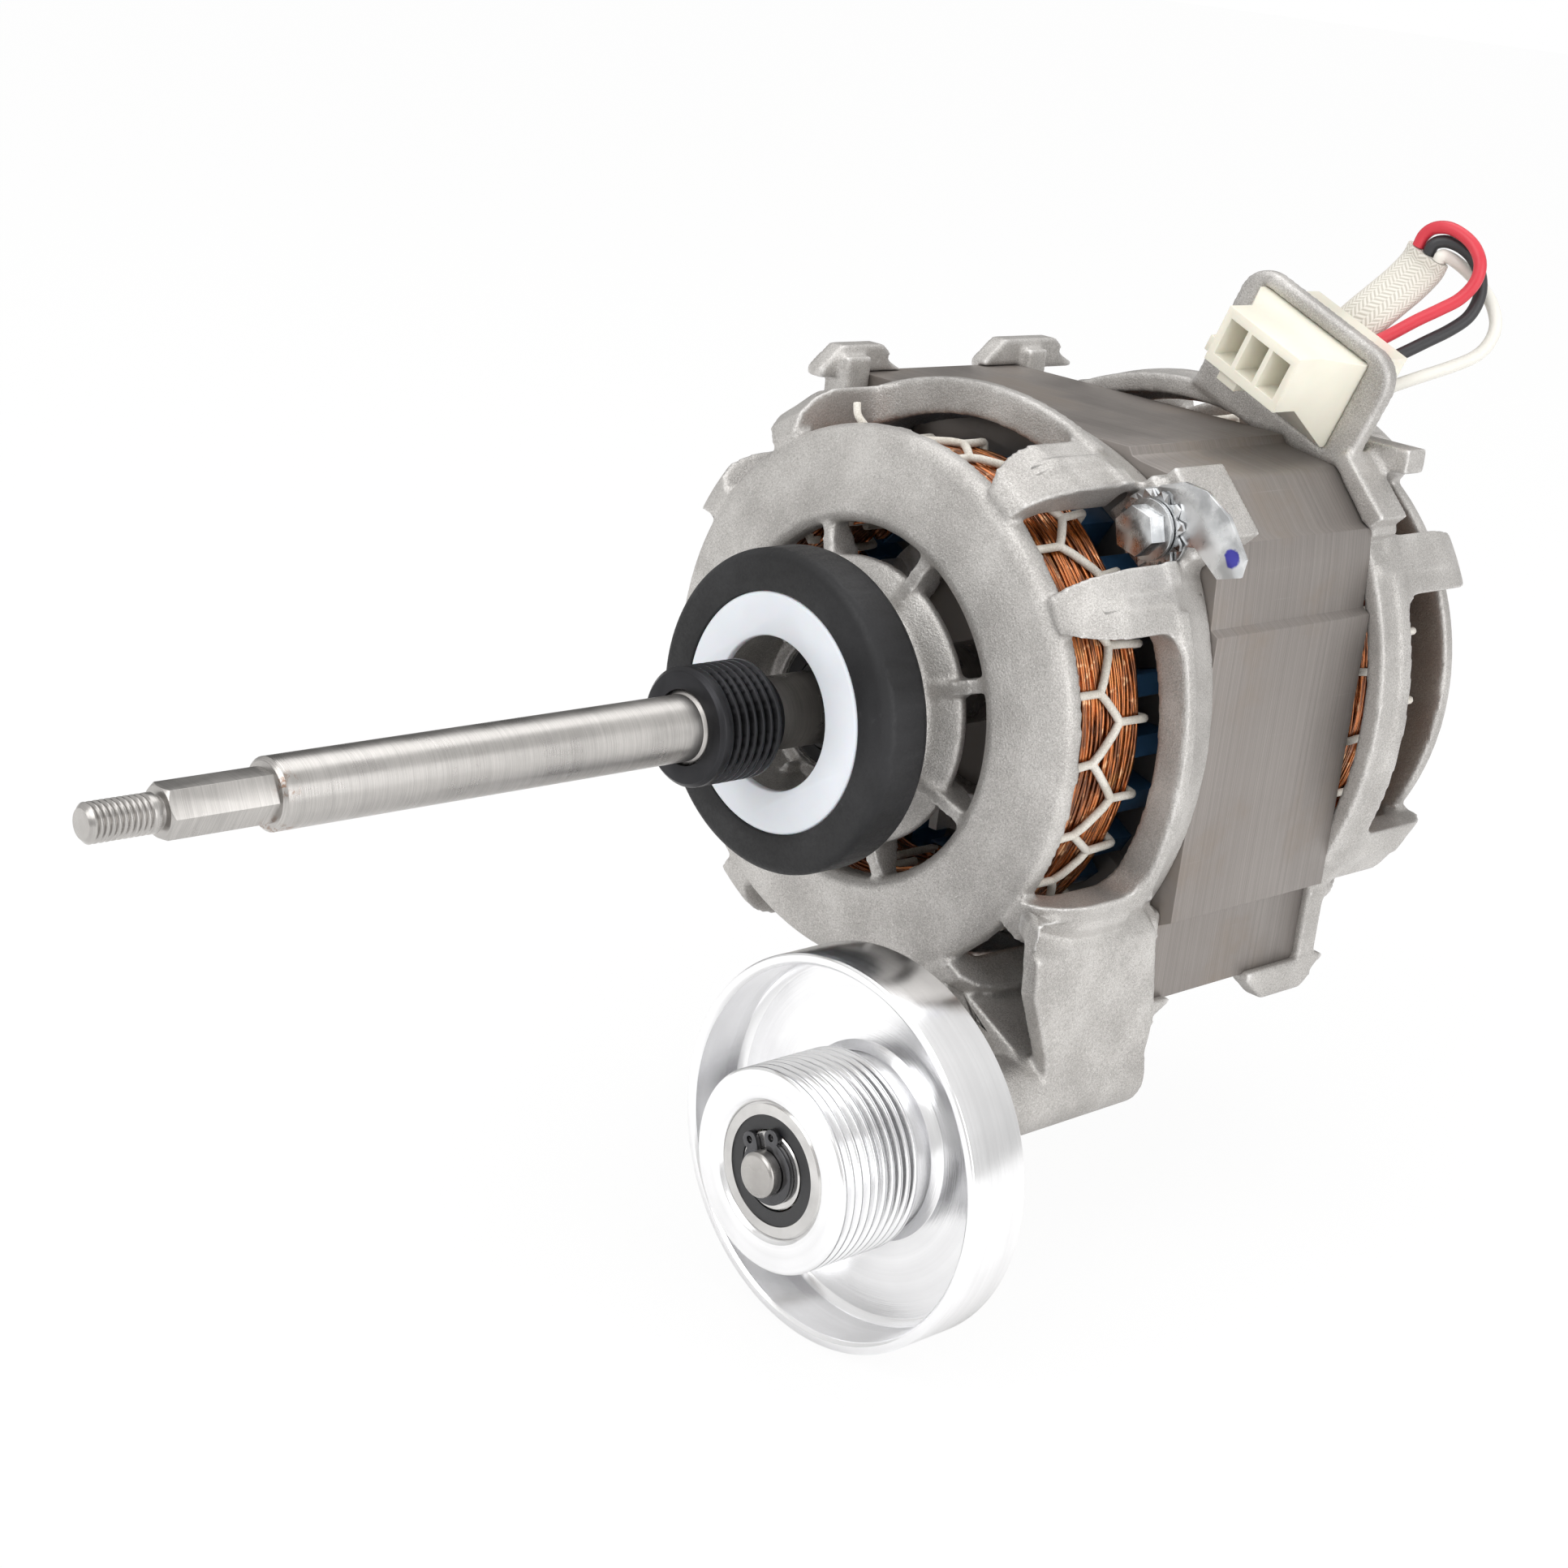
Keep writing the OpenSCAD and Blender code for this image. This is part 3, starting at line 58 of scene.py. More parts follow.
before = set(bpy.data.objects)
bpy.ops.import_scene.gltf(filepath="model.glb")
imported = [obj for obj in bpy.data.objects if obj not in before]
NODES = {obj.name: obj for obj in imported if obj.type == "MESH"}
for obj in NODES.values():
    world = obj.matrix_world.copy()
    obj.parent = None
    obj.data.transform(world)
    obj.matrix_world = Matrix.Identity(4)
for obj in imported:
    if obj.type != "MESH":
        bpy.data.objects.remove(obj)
CAD_BOX = [list(corner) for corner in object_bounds()]

FRAME_BODY = "motor_frame"
ROTOR_BODY = "rotor"
PULLEY_BODY = "belt_pulley"

MM = 0.001

# Camera: turn and height of the view in degrees, roll, place in metres, lens in millimetres
VIEW_TURN = 44.604
VIEW_HEIGHT = 17.685
VIEW_ROLL = 6.626
VIEW_PLACE = Vector((0.42453, -0.43008, 0.17491))
VIEW_LENS = 63.32

# Turn of the connector plate round the shaft
PLATE_TURN = math.radians(21.5)

# Round limit of the bridges between a shield's windows: depth behind the face, radius
BRIDGE_LIMIT = ((0, 0.0650), (0.0016, 0.0690), (0.006, 0.0720), (0.013, 0.0740), (0.050, 0.0760))
# Radius of the shallow arcs of a shield's sides
SIDE_ARC = 0.085
# How proud of the bridges their ridges stand: depth behind the face, height
RIDGE = ((0.007, 0), (0.013, 0.0008), (0.027, 0.0008), (0.033, 0), (0.050, 0))
# Angle of the ridges from the middle of a side, half the width that is trimmed there, and the
# radius outside which it is trimmed
RIDGE_TURN = math.radians(31.0)
RIDGE_BAND = 0.0032
RIDGE_FROM = 0.060
# Shields: node, place of the face, way from it to the stack, half width of the sides at depths
# behind the face, and how deep the ridges are trimmed
SHIELDS = (
    ("front_end_shield", 0.0216, 1, ((0, 0.0728), (0.0295, 0.0728), (0.047, 0.0670)), 0.047),
    ("rear_end_shield", 0.1727, -1, ((0, 0.0720), (0.050, 0.0720)), 0.013),
)

# Broken edges: degrees up to which faces count as flat, and degrees past which an edge is sharp
FLAT_ANGLE = 0.6
SHARP_ANGLE = 38

# Wires of an end winding: points round each, wires round the outside, over the tip and at the
# root, and the steps inwards of the last two
WIRE_POINTS = 168
OUTER_WIRES = 31
TIP_WIRES = 17
TIP_STEP = 0.00088
ROOT_WIRES = 8
ROOT_STEP = 0.0017
# How far the outer wires draw in at a winding's edges
WIRE_DRAW = 0.0022

# Radius of the lacing's inner ends, and the loose end of cord: radius, place along Y, degrees
LACE_INNER = 0.0427
LACE_TAIL = ((0.0600, 0.0300, 101), (0.0625, 0.0275, 102), (0.0655, 0.0262, 103.5), (0.0685, 0.0266, 104))

# Braided sleeve: yarns round it, fine fibres in a length equal to its girth, points round it
BRAID_YARNS = 22
BRAID_FIBRES = 130
SLEEVE_POINTS = 28

# Circle of the through bolts, and the toothed washers under their heads
BOLT_RADIUS = 0.07103
TEETH = 12
TOOTH_BORE = 0.0032
TOOTH_ROOT = 0.0074
TOOTH_RIM = 0.0091
TOOTH_TWIST = 0.0003

# Rub of paint on the earth tab
PAINT_PLACE = (0.0728, 0.0574, 0.0488)

# Rust on the shaft: place, reach
RUST_SPOTS = (
    ((-0.0065, -0.0385, 0.0038), 0.009),
    ((0.003, -0.1405, -0.0068), 0.006),
    ((0.0065, -0.1405, 0.004), 0.004),
)

# Axis of the step pulley
STEP_X = 0.0565
STEP_Z = -0.080

# Studio: what the lamps face, each lamp's place, width and power, and the floor's size and drop
LIT_PLACE = (0, 0.06, 0)
LAMPS = (
    ("key", (0.10, -1.15, 1.05), 1.1, 8.5),
    ("side", (1.45, -0.05, 0.35), 1.2, 8.6),
    ("top", (-0.2, 0.35, 1.35), 1.0, 5.0),
)
FLOOR_SIZE = 24
FLOOR_DROP = 0.0004

# Routes of the leads in the connector's frame, in millimetres: sideways, along the shaft, outwards
RED_ROUTE = [
    (4, 143.2, 95.4), (4, 146.6, 95.4), (5.4, 150.6, 99), (7.8, 154.4, 104.4), (10.2, 157.8, 109),
    (12, 160.6, 113), (12.4, 162.6, 117.6), (10.8, 163.6, 121.6), (7.2, 164, 124.1), (2.8, 164, 125.0),
    (-1.6, 163.6, 124.6), (-5, 163.2, 122.6), (-6.5, 163, 119.8), (-6.5, 163, 116.7),
]
BLACK_ROUTE = [
    (8, 143.2, 92), (8, 146.6, 92), (9.8, 151.6, 96), (12, 156.4, 101), (13.8, 160.8, 105.4),
    (14.6, 164.2, 109.6), (13.2, 166.6, 114.2), (10.2, 167.6, 118), (6.2, 167.4, 120.6), (2.4, 166.2, 121.6),
    (-1, 164.6, 121.2), (-3, 163.2, 119.4), (-3, 163, 116.7),
]
WHITE_ROUTE = [
    (13, 143.2, 88), (13, 146.6, 88), (14.4, 150.4, 90.6), (16.6, 155.4, 94.2), (19, 160.4, 98),
    (20.8, 165.2, 101.8), (20.6, 168.8, 105.4), (18.4, 171.4, 109.2), (14.4, 172, 112.6), (9.8, 171, 115),
    (5.4, 168.8, 116.8), (2.2, 165.8, 118), (0.6, 163.1, 118.2), (0.5, 163, 116.7),
]
SLEEVE_ROUTE = [
    (-3, 163, 116.5), (-3, 163, 113), (-3, 160, 108.4), (-3, 156, 104.4), (-3.4, 152, 99.6),
    (-4.6, 149.6, 94), (-6.8, 148.2, 88), (-9.4, 147.8, 81.6), (-11.6, 148, 75.4), (-13, 148.6, 69.6),
    (-13.6, 149.2, 64.4), (-13.8, 149.6, 60.2),
]


# Settings that a user would change


class MotorColours(bpy.types.PropertyGroup):
    """Base colours of the motor's finishes."""

    cast_dark: FloatVectorProperty(
        name="Casting, dark", description="Darker tone of the die-cast shields",
        subtype="COLOR", size=3, min=0, max=1, default=(0.40, 0.384, 0.368))
    cast_light: FloatVectorProperty(
        name="Casting, light", description="Lighter tone of the die-cast shields",
        subtype="COLOR", size=3, min=0, max=1, default=(0.62, 0.602, 0.582))
    lamination: FloatVectorProperty(
        name="Laminations", description="Colour of the stack's sheet edges",
        subtype="COLOR", size=3, min=0, max=1, default=(0.268, 0.245, 0.230))
    copper: FloatVectorProperty(
        name="Copper", description="Colour of the enamelled copper wire",
        subtype="COLOR", size=3, min=0, max=1, default=(0.40, 0.115, 0.030))
    lacing: FloatVectorProperty(
        name="Lacing", description="Colour of the lacing cord",
        subtype="COLOR", size=3, min=0, max=1, default=(0.80, 0.77, 0.71))
    nylon: FloatVectorProperty(
        name="Connector", description="Colour of the connector's nylon",
        subtype="COLOR", size=3, min=0, max=1, default=(0.79, 0.765, 0.66))
    liner: FloatVectorProperty(
        name="Liner", description="Colour of the mounting rings' liners",
        subtype="COLOR", size=3, min=0, max=1, default=(0.72, 0.745, 0.79))
    rubber: FloatVectorProperty(
        name="Rubber", description="Colour of the mounting rings' rubber",
        subtype="COLOR", size=3, min=0, max=1, default=(0.0105, 0.0105, 0.0115))


class MotorSizes(bpy.types.PropertyGroup):
    """Sizes of the dressing that isn't fixed by the solids."""

    cast_grid: FloatProperty(
        name="Casting grid", description="Size of the cells that round a casting's edges",
        subtype="DISTANCE", unit="LENGTH", default=0.00078, min=0.0005, max=0.003, precision=5)
    casting_faces: IntProperty(
        name="Casting triangles", description="Most triangles in one casting",
        default=185000, min=20000, max=195000)
    wire: FloatProperty(
        name="Wire", description="Diameter of one copper wire",
        subtype="DISTANCE", unit="LENGTH", default=0.0009, min=0.0004, max=0.002, precision=5)
    lace: FloatProperty(
        name="Lacing", description="Diameter of the lacing cord",
        subtype="DISTANCE", unit="LENGTH", default=0.0020, min=0.0008, max=0.0022, precision=5)
    lace_cells: IntProperty(
        name="Lacing cells", description="Number of cells of lacing round an end winding",
        default=22, min=8, max=40)
    lead: FloatProperty(
        name="Lead", description="Diameter of a lead wire",
        subtype="DISTANCE", unit="LENGTH", default=0.0032, min=0.002, max=0.004, precision=5)
    sleeve_width: FloatProperty(
        name="Sleeve width", description="Width of the flattened braided sleeve",
        subtype="DISTANCE", unit="LENGTH", default=0.0128, min=0.008, max=0.013, precision=5)
    sleeve_depth: FloatProperty(
        name="Sleeve depth", description="Thickness of the flattened braided sleeve",
        subtype="DISTANCE", unit="LENGTH", default=0.0040, min=0.003, max=0.006, precision=5)


def colours():
    """The scene's colour settings."""
    return bpy.context.scene.motor_colours


def sizes():
    """The scene's size settings."""
    return bpy.context.scene.motor_sizes


# Selecting, copying and finishing pieces


def select_only(obj):
    """Leaves one object selected and active."""
    bpy.ops.object.select_all(action="DESELECT")
    obj.select_set(True)
    bpy.context.view_layer.objects.active = obj


def copy_of(node, name):
    """A merged copy of a CAD node's mesh as a new object."""
    source = NODES[node]
    obj = bpy.data.objects.new(name, source.data.copy())
    bpy.context.scene.collection.objects.link(obj)
    select_only(obj)
    bpy.ops.object.mode_set(mode="EDIT")
    bpy.ops.mesh.select_all(action="SELECT")
    bpy.ops.mesh.remove_doubles(threshold=1e-7)
    bpy.ops.object.mode_set(mode="OBJECT")
    obj.data.materials.clear()
    return obj


def modifier(obj, kind, **settings):
    """Adds a modifier with these settings and applies it."""
    select_only(obj)
    added = obj.modifiers.new(kind.title(), kind)
    for name, value in settings.items():
        setattr(added, name, value)
    bpy.ops.object.modifier_apply(modifier=added.name)


def smooth(obj, angle):
    """Smooth shading that keeps edges sharper than the angle, in degrees."""
    select_only(obj)
    bpy.ops.object.shade_smooth_by_angle(angle=math.radians(angle))


def finish_piece(obj, body, material, nodes=()):
    """Gives a piece its material and body, and hides the CAD nodes that it stands for."""
    obj.data.materials.clear()
    obj.data.materials.append(material)
    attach(obj, body)
    if nodes:
        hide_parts(*nodes)


def machined(node, body, material, edge):
    """Replaces a CAD node with a copy whose sharp edges are broken to a width."""
    obj = copy_of(node, node + "_dressed")
    bpy.ops.object.mode_set(mode="EDIT")
    bpy.ops.mesh.select_all(action="SELECT")
    bpy.ops.mesh.dissolve_limited(angle_limit=math.radians(FLAT_ANGLE))
    bpy.ops.object.mode_set(mode="OBJECT")
    modifier(obj, "BEVEL", width=edge, segments=2, limit_method="ANGLE",
             angle_limit=math.radians(SHARP_ANGLE), use_clamp_overlap=True)
    smooth(obj, SHARP_ANGLE)
    finish_piece(obj, body, material, [node])


def dress(node, material):
    """Puts a material on a CAD node that stays as it is."""
    mesh = NODES[node].data
    mesh.materials.clear()
    mesh.materials.append(material)


def plate_point(p):
    """A point of the connector's frame, in millimetres, as a place in metres."""
    x, y, z = (v * MM for v in p)
    c, s = math.cos(PLATE_TURN), math.sin(PLATE_TURN)
    return Vector((x * c + z * s, y, z * c - x * s))


def curve_piece(name, lines, radius, closed=False, sides=1, caps=True):
    """Round cords along lists of points, made a mesh with closed ends."""
    data = bpy.data.curves.new(name, "CURVE")
    data.dimensions = "3D"
    data.bevel_depth = radius
    data.bevel_resolution = sides
    data.use_fill_caps = caps
    for line in lines:
        spline = data.splines.new("POLY")
        spline.points.add(len(line) - 1)
        spline.points.foreach_set("co", [c for p in line for c in (p[0], p[1], p[2], 1.0)])
        spline.use_cyclic_u = closed
    obj = bpy.data.objects.new(name, data)
    bpy.context.scene.collection.objects.link(obj)
    select_only(obj)
    bpy.ops.object.convert(target="MESH")
    obj = bpy.context.object
    bpy.ops.object.shade_smooth()
    return obj


def smooth_line(points, steps=6):
    """A smooth line through points, with steps between each pair of them."""
    ends = [points[0] * 2 - points[1]] + list(points) + [points[-1] * 2 - points[-2]]
    line = []
    for a, b, c, d in zip(ends, ends[1:], ends[2:], ends[3:]):
        for k in range(steps):
            t = k / steps
            line.append(0.5 * (2 * b + (c - a) * t + (2 * a - 5 * b + 4 * c - d) * t * t
                               + (3 * b - a - 3 * c + d) * t ** 3))
    return line + [points[-1]]


def polar(radius, y, degrees):
    """A point round the shaft's axis, from +X towards +Z, in metres."""
    a = math.radians(degrees)
    return Vector((radius * math.cos(a), y, radius * math.sin(a)))


# Shader maths


class Value:
    """A socket of a finish, which adds a Math node for each operator."""

    def __init__(self, finish, socket):
        self.finish = finish
        self.socket = socket

    def _math(self, operation, *values):
        """Adds a Math node over these values."""
        node = self.finish.node("ShaderNodeMath", {"operation": operation}, dict(enumerate(values)))
        return Value(self.finish, node.outputs[0])

    def __add__(self, other):
        return self._math("ADD", self, other)

    def __radd__(self, other):
        return self._math("ADD", other, self)

    def __sub__(self, other):
        return self._math("SUBTRACT", self, other)

    def __rsub__(self, other):
        return self._math("SUBTRACT", other, self)

    def __mul__(self, other):
        return self._math("MULTIPLY", self, other)

    def __rmul__(self, other):
        return self._math("MULTIPLY", other, self)

    def sine(self):
        """Its sine."""
        return self._math("SINE", self)

    def root(self):
        """Its square root."""
        return self._math("SQRT", self)


class Finish:
    """A procedural material under construction."""

    def __init__(self, name):
        self.material = bpy.data.materials.new(name)
        self.material.use_nodes = True
        self.tree = self.material.node_tree
        self.tree.nodes.clear()
        self.shader = self.node("ShaderNodeBsdfPrincipled")
        self.node("ShaderNodeOutputMaterial", None, {"Surface": self.shader.outputs[0]})
        self.place = self.node("ShaderNodeTexCoord").outputs["Object"]

    def node(self, kind, settings=None, values=None):
        """Adds a node, sets its settings, then the values or links of its sockets."""
        made = self.tree.nodes.new(kind)
        for name, value in (settings or {}).items():
            if name == "stops":
                stops = made.color_ramp.elements
                while len(stops) < len(value):
                    stops.new(0.5)
                for stop, (at, colour) in zip(stops, value):
                    stop.position = at
                    stop.color = (*colour, 1) if len(colour) == 3 else colour
            else:
                setattr(made, name, value)
        for name, value in (values or {}).items():
            self.set(made.inputs[name], value)
        return made

    def set(self, socket, value):
        """Links a socket to a value's own socket, or sets it to a plain value."""
        if isinstance(value, Value):
            value = value.socket
        if isinstance(value, bpy.types.NodeSocket):
            self.tree.links.new(value, socket)
        elif hasattr(value, "__len__") and len(value) == 3 and socket.type == "RGBA":
            socket.default_value = (*value, 1)
        else:
            socket.default_value = value

    def noise(self, scale, detail=3, rough=0.55, at=None, stretch=None):
        """Noise from 0 to 1; stretch scales the place along each axis first."""
        place = at if at is not None else self.place
        if stretch:
            place = self.node("ShaderNodeMapping", None, {"Vector": place, "Scale": stretch}).outputs[0]
        made = self.node("ShaderNodeTexNoise", None, {
            "Vector": place, "Scale": scale, "Detail": detail, "Roughness": rough})
        return Value(self, made.outputs["Fac"])

    def band(self, value, low, high, to_low=0.0, to_high=1.0):
        """Maps a value from one range to another, eased and clamped."""
        made = self.node("ShaderNodeMapRange", {"interpolation_type": "SMOOTHSTEP"}, {
            "Value": value, "From Min": low, "From Max": high, "To Min": to_low, "To Max": to_high})
        return Value(self, made.outputs[0])

    def mix(self, share, a, b):
        """Mixes two colours."""
        made = self.node("ShaderNodeMix", {"data_type": "RGBA"}, {0: share, 6: a, 7: b})
        return made.outputs[2]

    def axis(self, letter):
        """One coordinate of the object's own place."""
        made = self.node("ShaderNodeSeparateXYZ", None, {0: self.place})
        return Value(self, made.outputs["XYZ".index(letter)])

    def distance(self, x=0.0, z=0.0):
        """Distance from an axis that lies along Y."""
        made = self.node("ShaderNodeSeparateXYZ", None, {0: self.place})
        across = Value(self, made.outputs[0]) - x
        up = Value(self, made.outputs[2]) - z
        return (across * across + up * up).root()

    def away(self, spot):
        """Distance from a point."""
        made = self.node("ShaderNodeVectorMath", {"operation": "DISTANCE"}, {0: self.place, 1: spot})
        return Value(self, made.outputs["Value"])

    def bump(self, height, depth, strength, below=None):
        """Relief of a height map, over the normal of another."""
        values = {"Height": height, "Distance": depth, "Strength": strength}
        if below is not None:
            values["Normal"] = below
        return self.node("ShaderNodeBump", None, values).outputs[0]

    def done(self, colour, rough, metal, normal=None, **fixed):
        """Sets the shader's inputs and returns the material."""
        self.set(self.shader.inputs["Base Color"], colour)
        self.set(self.shader.inputs["Roughness"], rough)
        self.set(self.shader.inputs["Metallic"], metal)
        if normal is not None:
            self.set(self.shader.inputs["Normal"], normal)
        for name, value in fixed.items():
            self.set(self.shader.inputs[name.replace("_", " ").title().replace("Ior", "IOR")], value)
        return self.material


# Finishes


def shades(tone, *shares):
    """Darker or lighter tones of a colour, one for each share."""
    return [tuple(min(1.0, v * share) for v in tone) for share in shares]


def cast_aluminium():
    """Die-cast aluminium: sandy grain, soft blotches, painted highlights on sharp edges, painted shade in
    creases and painted brownish shade in the hollows inside the motor.
    """
    f = Finish("cast_aluminium")
    c = colours()
    blotch = f.noise(60, 4)
    grain = f.noise(2100, 2, 0.7)
    speck = f.noise(5600, 1, 0.5)
    tone = f.mix(f.band(blotch + (grain - 0.5) * 0.8, 0.25, 0.8), c.cast_dark, c.cast_light)
    tone = f.mix(f.band(speck, 0.58, 0.72, 0, 0.62), tone, (0.84, 0.83, 0.81))
    tone = f.mix(f.band(speck, 0.42, 0.29, 0, 0.55), tone, (0.17, 0.16, 0.15))
    # Painted shade: the hollow insides of the castings, between the shield faces, are darkened to a brownish
    # tone.
    inside = f.band(f.distance(), 0.0645, 0.0585) * f.band(f.distance(), 0.0440, 0.0475)
    hollow_shade = inside * f.band(f.axis("Y"), 0.0245, 0.0275) * f.band(f.axis("Y"), 0.1715, 0.1685)
    tone = f.mix(hollow_shade * 0.55, tone, (0.24, 0.185, 0.135))
    # Painted highlight on the sharp edges and painted shade in the creases, both taken from the mesh's
    # pointiness.
    edge = Value(f, f.node("ShaderNodeNewGeometry").outputs["Pointiness"])
    tone = f.mix(f.band(edge, 0.525, 0.60, 0, 0.7), tone, (0.88, 0.87, 0.86))
    tone = f.mix(f.band(edge, 0.47, 0.38, 0, 0.55), tone, (0.13, 0.117, 0.105))
    normal = f.bump(grain, 0.00017, 0.8)
    normal = f.bump(f.noise(420, 3), 0.0003, 0.35, normal)
    rough = f.band(grain, 0.3, 0.75, 0.56, 0.40)
    return f.done(tone, rough, 0.76, normal)


def lamination_steel():
    """Edges of stacked sheets: fine straight lines across the shaft, stains and drag marks."""
    f = Finish("lamination_steel")
    sheets = f.noise(1.0, 1, 0.5, stretch=(0.6, 3100, 0.6))
    wide = f.noise(1.0, 2, 0.6, stretch=(3, 900, 3))
    stain = f.noise(34, 5, 0.65)
    drag = f.noise(1.0, 3, 0.6, stretch=(700, 18, 700))
    low, high = shades(colours().lamination, 0.82, 1.18)
    tone = f.mix(f.band(sheets * 0.7 + wide * 0.3, 0.3, 0.7), low, high)
    tone = f.mix(f.band(stain, 0.50, 0.72, 0, 0.45), tone, (0.27, 0.222, 0.180))
    tone = f.mix(f.band(drag, 0.66, 0.84, 0, 0.16), tone, (0.58, 0.565, 0.545))
    normal = f.bump(sheets, 0.00009, 0.5)
    rough = f.band(stain + (sheets - 0.5) * 0.5, 0.3, 0.7, 0.38, 0.56)
    return f.done(tone, rough, 0.72, normal)


def steel(name, tone, rough, line, rust=()):
    """Ground or turned steel: fine lines round an axis along Y, and rust at some spots."""
    f = Finish(name)
    turned = f.noise(1.0, 3, 0.6, stretch=(90, 5200, 90))
    haze = f.noise(70, 4)
    low, high = shades(tone, 0.8, 1.15)
    shade = f.mix(f.band(turned * 0.6 + haze * 0.4, 0.3, 0.7), low, high)
    for spot, reach in rust:
        near = f.band(f.away(spot), reach, reach * 0.2)
        share = near * f.band(f.noise(700, 4, 0.7), 0.48, 0.62, 0, 0.8)
        shade = f.mix(share, shade, (0.19, 0.085, 0.035))
    roughness = f.band(haze, 0.3, 0.7, rough * 0.85, rough * 1.2)
    return f.done(shade, roughness, 0.95, f.bump(turned, line, 0.6))


def turned_aluminium():
    """Bright turned aluminium with fine lathe lines round the step pulley's axis."""
    f = Finish("turned_aluminium")
    reach = f.distance(STEP_X, STEP_Z)
    along = f.axis("Y")
    line = f.node("ShaderNodeCombineXYZ", None, {0: reach, 1: along}).outputs[0]
    cut = f.noise(5200, 2, 0.6, at=line)
    wide = f.noise(420, 3, 0.6, at=line)
    haze = f.noise(45, 3)
    shade = f.mix(f.band(wide * 0.5 + haze * 0.5, 0.3, 0.7), (0.80, 0.80, 0.81), (0.93, 0.93, 0.94))
    roughness = f.band(cut * 0.6 + haze * 0.4, 0.3, 0.7, 0.13, 0.26)
    return f.done(shade, roughness, 1.0, f.bump(cut, 0.000035, 0.5))


def mottled_zinc(f):
    """Soft mottling of zinc plating, and its colour."""
    haze = f.noise(150, 3)
    return haze, f.mix(f.band(haze, 0.35, 0.65), (0.50, 0.51, 0.52), (0.78, 0.79, 0.80))


def zinc():
    """Bright zinc plating with soft mottling and handling marks."""
    f = Finish("zinc_steel")
    haze, shade = mottled_zinc(f)
    scratch = f.noise(1.0, 2, 0.6, stretch=(2600, 300, 700))
    normal = f.bump(haze, 0.00004, 0.35, f.bump(scratch, 0.00002, 0.35))
    roughness = f.band(haze + (scratch - 0.5) * 0.4, 0.3, 0.7, 0.20, 0.34)
    return f.done(shade, roughness, 1.0, normal)


def marked_zinc():
    """The earth tab's zinc, with a rub of blue paint near its outer end."""
    f = Finish("marked_zinc")
    haze, shade = mottled_zinc(f)
    ragged = f.away(PAINT_PLACE) + (f.noise(500, 4, 0.7) - 0.5) * 0.002
    shade = f.mix(f.band(ragged, 0.0023, 0.0018, 0, 0.92), shade, (0.022, 0.018, 0.30))
    return f.done(shade, f.band(haze, 0.3, 0.7, 0.18, 0.34), 0.9, f.bump(haze, 0.00004, 0.35))


def enamelled_copper():
    """Copper wire under red-brown enamel: wire-to-wire changes and a clear gloss."""
    f = Finish("enamelled_copper")
    strand = f.noise(1.0, 2, 0.6, stretch=(150, 1100, 150))
    blotch = f.noise(120, 3)
    low = shades(colours().copper, 0.34)[0]
    shade = f.mix(f.band(strand, 0.36, 0.64), low, (0.60, 0.185, 0.045))
    shade = f.mix(f.band(blotch, 0.54, 0.74, 0, 0.45), shade, (0.56, 0.25, 0.06))
    shade = f.mix(f.band(f.noise(380, 2), 0.60, 0.72, 0, 0.6), shade, (0.95, 0.58, 0.32))
    roughness = f.band(strand, 0.3, 0.7, 0.16, 0.30)
    normal = f.bump(f.noise(2600, 2), 0.00003, 0.35)
    return f.done(shade, roughness, 0.80, normal, coat_weight=0.7, coat_roughness=0.09)


def lacing_cord():
    """Varnished off-white thread with a fine twist."""
    f = Finish("lacing_cord")
    fuzz = f.noise(2600, 3, 0.7)
    stain = f.noise(150, 3)
    shade = f.mix(f.band(fuzz * 0.6 + stain * 0.4, 0.35, 0.65), (0.55, 0.51, 0.44), colours().lacing)
    return f.done(shade, 0.62, 0.0, f.bump(fuzz, 0.00018, 0.6), sheen_weight=0.15)


def braided_sleeve():
    """Flat herringbone braid: two sets of slanted yarns from the piece's own map, with painted shade between
    them.
    """
    f = Finish("braided_sleeve")
    place = f.node("ShaderNodeUVMap", {"uv_map": "braid"}).outputs[0]
    parts = f.node("ShaderNodeSeparateXYZ", None, {0: place})
    around, along = Value(f, parts.outputs[0]), Value(f, parts.outputs[1])
    turns = 2 * math.pi * BRAID_YARNS
    left = ((around + along) * turns).sine()
    right = ((around - along) * turns).sine()
    over = f.band((around * (turns / 2)).sine(), -0.25, 0.25)
    weave = over * left + (1 - over) * right
    fine = (along * (2 * math.pi * BRAID_FIBRES)).sine()
    height = weave * 0.5 + fine * 0.12 + 0.5
    # Painted shade: the weave is coloured darker where its height is low, between the yarns.
    shade = f.mix(f.band(height, 0.0, 0.8), (0.53, 0.50, 0.44), (0.77, 0.745, 0.685))
    shade = f.mix(f.band(f.noise(160, 3), 0.5, 0.75, 0, 0.3), shade, (0.63, 0.60, 0.52))
    return f.done(shade, 0.72, 0.0, f.bump(height, 0.00018, 0.6), sheen_weight=0.2)


def moulded(name, tone, rough, mottle, grain=900, depth=0.00003, **fixed):
    """Moulded plastic or rubber: slight mottling and a fine surface grain."""
    f = Finish(name)
    cloud = f.noise(55, 3)
    fine = f.noise(grain, 3, 0.6)
    low, high = shades(tone, 1 - mottle, 1 + mottle)
    shade = f.mix(f.band(cloud, 0.3, 0.7), low, high)
    roughness = f.band(cloud * 0.5 + fine * 0.5, 0.3, 0.7, rough * 0.88, rough * 1.12)
    return f.done(shade, roughness, 0.0, f.bump(fine, depth, 0.6), **fixed)


